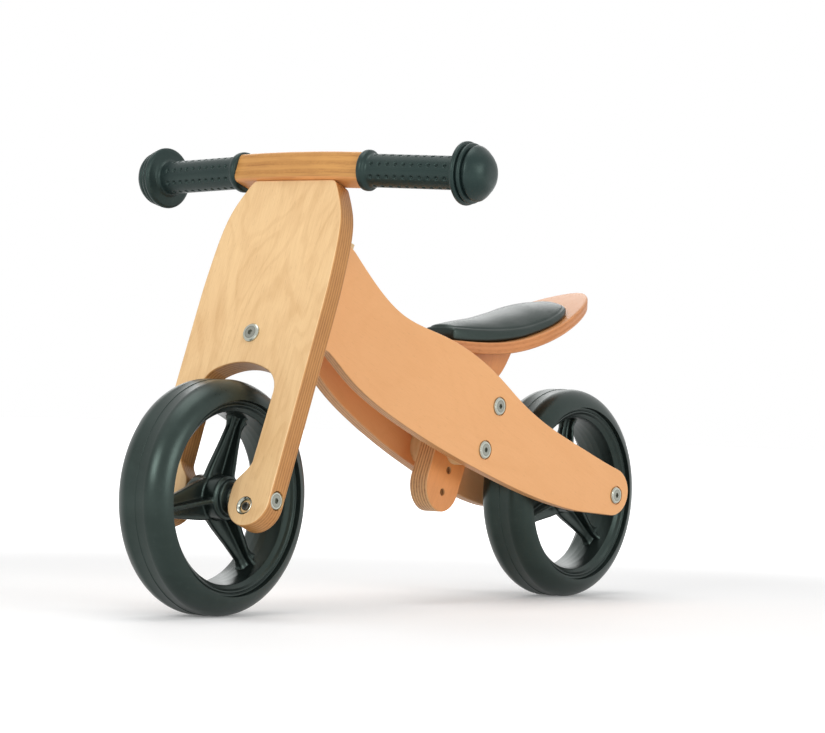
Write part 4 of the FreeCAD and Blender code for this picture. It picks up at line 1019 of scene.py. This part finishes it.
def make_floor():
    """A pale floor that takes the bike's shadow and fades to plain white away from it."""
    places = [(k / FLOOR_CELLS - 0.5) * 2 * FLOOR_HALF for k in range(FLOOR_CELLS + 1)]
    verts = [(x, y, 0.0) for x in places for y in places]
    corners = [i * (FLOOR_CELLS + 1) + j for i in range(FLOOR_CELLS) for j in range(FLOOR_CELLS)]
    faces = [(k, k + FLOOR_CELLS + 1, k + FLOOR_CELLS + 2, k + 1) for k in corners]
    floor = mesh_object("studio_floor", verts, faces)
    material = bpy.data.materials.new("studio_floor")
    material.use_nodes = True
    net = Net(material.node_tree)
    away = net.vector("LENGTH", net.add("ShaderNodeTexCoord").outputs["Object"])
    glow = net.times(seen_directly(net), net.ramp(away, 0.55, 1.5, 0.16, 1.0))
    net.feed_all(material.node_tree.nodes["Principled BSDF"], {
        "Base Color": (0.86, 0.86, 0.86), "Roughness": 0.7, "Specular IOR Level": 0.2,
        "Emission Color": (1, 1, 1), "Emission Strength": glow})
    dress(floor, material)


def make_light(name, place, size, power):
    lamp = bpy.data.lights.new(name, "AREA")
    lamp.shape, lamp.energy = "RECTANGLE", power
    lamp.size, lamp.size_y = size
    obj = new_object(name, lamp)
    obj.location = place
    obj.rotation_euler = (STAGE_MIDDLE - Vector(place)).to_track_quat("-Z", "Y").to_euler()


def make_camera():
    """The camera, from where it stands and the way it looks."""
    level = math.cos(CAMERA_PITCH)
    ahead = Vector((math.cos(CAMERA_YAW) * level, math.sin(CAMERA_YAW) * level, math.sin(CAMERA_PITCH)))
    right = ahead.cross(UPRIGHT).normalized()
    up = right.cross(ahead)
    rolled_right = right * math.cos(CAMERA_ROLL) + up * math.sin(CAMERA_ROLL)
    rolled_up = up * math.cos(CAMERA_ROLL) - right * math.sin(CAMERA_ROLL)
    data = bpy.data.cameras.new("camera")
    data.sensor_fit, data.sensor_width = "HORIZONTAL", CAMERA_SENSOR
    data.lens, data.clip_end = CAMERA_LENS, CAMERA_REACH
    obj = new_object("camera", data)
    obj.matrix_world = frame_matrix(rolled_right, rolled_up, -ahead, CAMERA_PLACE)
    bpy.context.scene.camera = obj


# ---- operators ----

class BIKE_OT_wheels(bpy.types.Operator):
    """Build both wheels: tyres, rim rings, hubs and spokes"""
    bl_idname = "bike.wheels"
    bl_label = "Wheels"

    def execute(self, context):
        wheels, colours = context.scene.bike_wheels, context.scene.bike_colours
        rubber = moulded("tyre_rubber", colours.rubber, grain=700, dull=0.32, patch=0.18)
        plastic = moulded("wheel_plastic", colours.plastic, grain=1500, dull=0.30, patch=0.12)
        make_wheel("front", FRONT_AXLE, FRONT_SPOKE_ANGLE, wheels, rubber, plastic)
        make_wheel("rear", REAR_AXLE, REAR_SPOKE_ANGLE, wheels, rubber, plastic)
        return {"FINISHED"}


class BIKE_OT_grips(bpy.types.Operator):
    """Build both rubber grips with their dimples and safety knobs"""
    bl_idname = "bike.grips"
    bl_label = "Grips"

    def execute(self, context):
        rubber = moulded("grip_rubber", context.scene.bike_colours.grip, grain=1100, dull=0.38, patch=0.12,
                         specular=0.36)
        for side in ("left", "right"):
            make_grip(side, context.scene.bike_grips, rubber)
        return {"FINISHED"}


class BIKE_OT_seat_pad(bpy.types.Operator):
    """Build the padded seat cover and blow it up"""
    bl_idname = "bike.seat_pad"
    bl_label = "Seat pad"

    def execute(self, context):
        values = {"Base": context.scene.bike_colours.leather, "Cell": 820.0}
        material = surface("pad_leather", leather_group, values, 0.22, 0.00014,
                           {"Coat Weight": 0.12, "Coat Roughness": 0.18, "Specular Tint": DARK_SHEEN})
        make_seat_pad(context.scene.bike_pad, material)
        return {"FINISHED"}


class BIKE_OT_wood(bpy.types.Operator):
    """Finish the plywood and solid wood parts"""
    bl_idname = "bike.wood"
    bl_label = "Wood"

    def execute(self, context):
        colours = context.scene.bike_colours
        # Tones in the order: light and dark of the face, light and dark of the edge.
        panel = (colours.panel_light, colours.panel_dark, colours.edge_light, colours.edge_dark)
        bar = ((0.79, 0.36, 0.118), (0.56, 0.225, 0.060), (0.64, 0.315, 0.083), (0.34, 0.132, 0.027))
        plate = (colours.plate_light, colours.plate_dark, (0.70, 0.36, 0.14), (0.42, 0.18, 0.055))
        post = ((0.79, 0.33, 0.100), (0.58, 0.21, 0.058), (0.74, 0.43, 0.190), (0.36, 0.155, 0.055))
        board = ((0.62, 0.275, 0.100), (0.52, 0.210, 0.068), (0.68, 0.275, 0.094), (0.43, 0.150, 0.042))
        pale = (colours.spacer_light, (0.70, 0.46, 0.22), (0.80, 0.58, 0.30), (0.62, 0.40, 0.18))

        panel_axes = board_axes(PANEL_FORWARD, SIDEWAYS, STEERING_UP, FRONT_AXLE)
        bar_axes = board_axes(STEERING_UP, PANEL_FORWARD, SIDEWAYS, FRONT_AXLE)
        post_up = Vector((-math.sin(POST_TILT), 0, math.cos(POST_TILT)))
        post_out = Vector((math.cos(POST_TILT), 0, math.sin(POST_TILT)))
        post_axes = board_axes(SIDEWAYS, post_out, post_up, POST_BOLTS[0])
        level_axes = board_axes(SIDEWAYS, FORWARD, UPRIGHT, (0, 0, 0))

        # Each wood with its parts, tones, thickness of a layer, strength of figure and of layers, and axes.
        for name, parts, tones, layer, figure, contrast, axes in (
                ("birch_panel_face", ["fork_panel"], panel, 0.00138, 0.85, 0.6, panel_axes),
                ("birch_bar", ["handlebar"], bar, 0.0036, 0.9, 0.42, bar_axes),
                ("plate_wood_left", ["side_plate_left"], plate, 0.00143, 0.42, 0.8, plate_axes(1)),
                ("plate_wood_right", ["side_plate_right"], plate, 0.00143, 0.42, 0.8, plate_axes(-1)),
                ("post_wood", ["seat_post"], post, 0.00138, 0.6, 0.8, post_axes),
                ("seat_board_wood", ["seat_board"], board, 0.0022, 0.5, 0.38, bent_axes),
                ("pale_wood", SPACERS, pale, 0.003, 0.6, 0.3, level_axes)):
            dress_nodes(parts, wood(name, tones, layer, figure, contrast, axes))
        return {"FINISHED"}


class BIKE_OT_metal(bpy.types.Operator):
    """Finish the bolts, nuts, screws and brackets, and build the screws in the fork's feet"""
    bl_idname = "bike.metal"
    bl_label = "Metal"

    def execute(self, context):
        steel = context.scene.bike_colours.steel
        pair = POST_BOLTS[1] - POST_BOLTS[0]
        panel_bolt = FRONT_AXLE + STEERING_UP * PANEL_BOLT_HEIGHT
        # Each bolt with its nut: its middle, its axis, a line across its face, and half its pair's spacing.
        for names, middle, axis, run, spread in (
                (("post_bolts", "post_nuts"), (POST_BOLTS[0] + POST_BOLTS[1]) / 2, SIDEWAYS,
                 pair.normalized(), pair.length / 2),
                (("rear_axle_bolt", "rear_axle_nut"), REAR_AXLE, SIDEWAYS, UPRIGHT, 0.0),
                (("front_axle_bolt", "front_axle_nut"), FRONT_AXLE, SIDEWAYS, UPRIGHT, 0.0),
                (("panel_bolt", "panel_nut"), panel_bolt, PANEL_FORWARD, STEERING_UP, 0.0)):
            axes = board_axes(axis, axis.cross(run), run, middle)
            dress_nodes(names, metal("plated_" + names[0], steel, 0.17, axes=axes, spread=spread))
        plated = metal("plated_steel_plain", steel, 0.17)
        dress_nodes(PLAIN_METALS, plated)
        dress_nodes(SCREWS, metal("zinc_screw", (0.60, 0.56, 0.47), 0.28, bump=0.2))
        dress_nodes(BRACKETS, metal("zinc_bracket", (0.50, 0.50, 0.50), 0.34, bump=0.25, bump_size=0.0001))
        # The socket screws are painted dark, as painted shade in the cup washers' pockets.
        make_foot_screws(plated, metal("shade_dark_screw", (0.075, 0.075, 0.066), 0.22))
        return {"FINISHED"}


class BIKE_OT_nylon(bpy.types.Operator):
    """Finish the bushes and the axle spacers"""
    bl_idname = "bike.nylon"
    bl_label = "Nylon"

    def execute(self, context):
        dress_nodes(NYLON, moulded("bush_nylon", (0.012, 0.013, 0.014), grain=1800, dull=0.38, patch=0.10))
        return {"FINISHED"}


class BIKE_OT_stage(bpy.types.Operator):
    """Build the floor, the lights and the camera"""
    bl_idname = "bike.stage"
    bl_label = "Stage"

    def execute(self, context):
        if context.scene.bike_colours.add_stage:
            make_world()
            make_floor()
            for name, place, size, power in SOFTBOXES:
                make_light(name, place, size, power)
            make_camera()
            context.scene.view_settings.view_transform = "Standard"
        return {"FINISHED"}


class BIKE_PT_panel(bpy.types.Panel):
    """Buttons for each group of pieces, and their sizes and colours"""
    bl_idname = "BIKE_PT_panel"
    bl_label = "Balance bike"
    bl_space_type = "VIEW_3D"
    bl_region_type = "UI"
    bl_category = "Bike"

    def draw(self, context):
        layout = self.layout
        for operator in OPERATORS:
            layout.operator(operator.bl_idname)
        for name, group in GROUP_CLASSES:
            box = layout.box()
            for label in group.__annotations__:
                box.prop(getattr(context.scene, name), label)


OPERATORS = (BIKE_OT_stage, BIKE_OT_wheels, BIKE_OT_grips, BIKE_OT_seat_pad, BIKE_OT_wood, BIKE_OT_metal,
             BIKE_OT_nylon)
GROUP_CLASSES = (("bike_wheels", BikeWheelSettings), ("bike_grips", BikeGripSettings),
                 ("bike_pad", BikePadSettings), ("bike_colours", BikeColourSettings))


def register():
    for name, group in GROUP_CLASSES:
        bpy.utils.register_class(group)
        setattr(bpy.types.Scene, name, PointerProperty(type=group))
    for operator in OPERATORS:
        bpy.utils.register_class(operator)
    bpy.utils.register_class(BIKE_PT_panel)


def unregister():
    bpy.utils.unregister_class(BIKE_PT_panel)
    for operator in reversed(OPERATORS):
        bpy.utils.unregister_class(operator)
    for name, group in reversed(GROUP_CLASSES):
        delattr(bpy.types.Scene, name)
        bpy.utils.unregister_class(group)


def main():
    register()
    bpy.ops.bike.stage()
    bpy.ops.bike.wheels()
    bpy.ops.bike.grips()
    bpy.ops.bike.seat_pad()
    bpy.ops.bike.wood()
    bpy.ops.bike.metal()
    bpy.ops.bike.nylon()


if __name__ == "__main__":
    main()
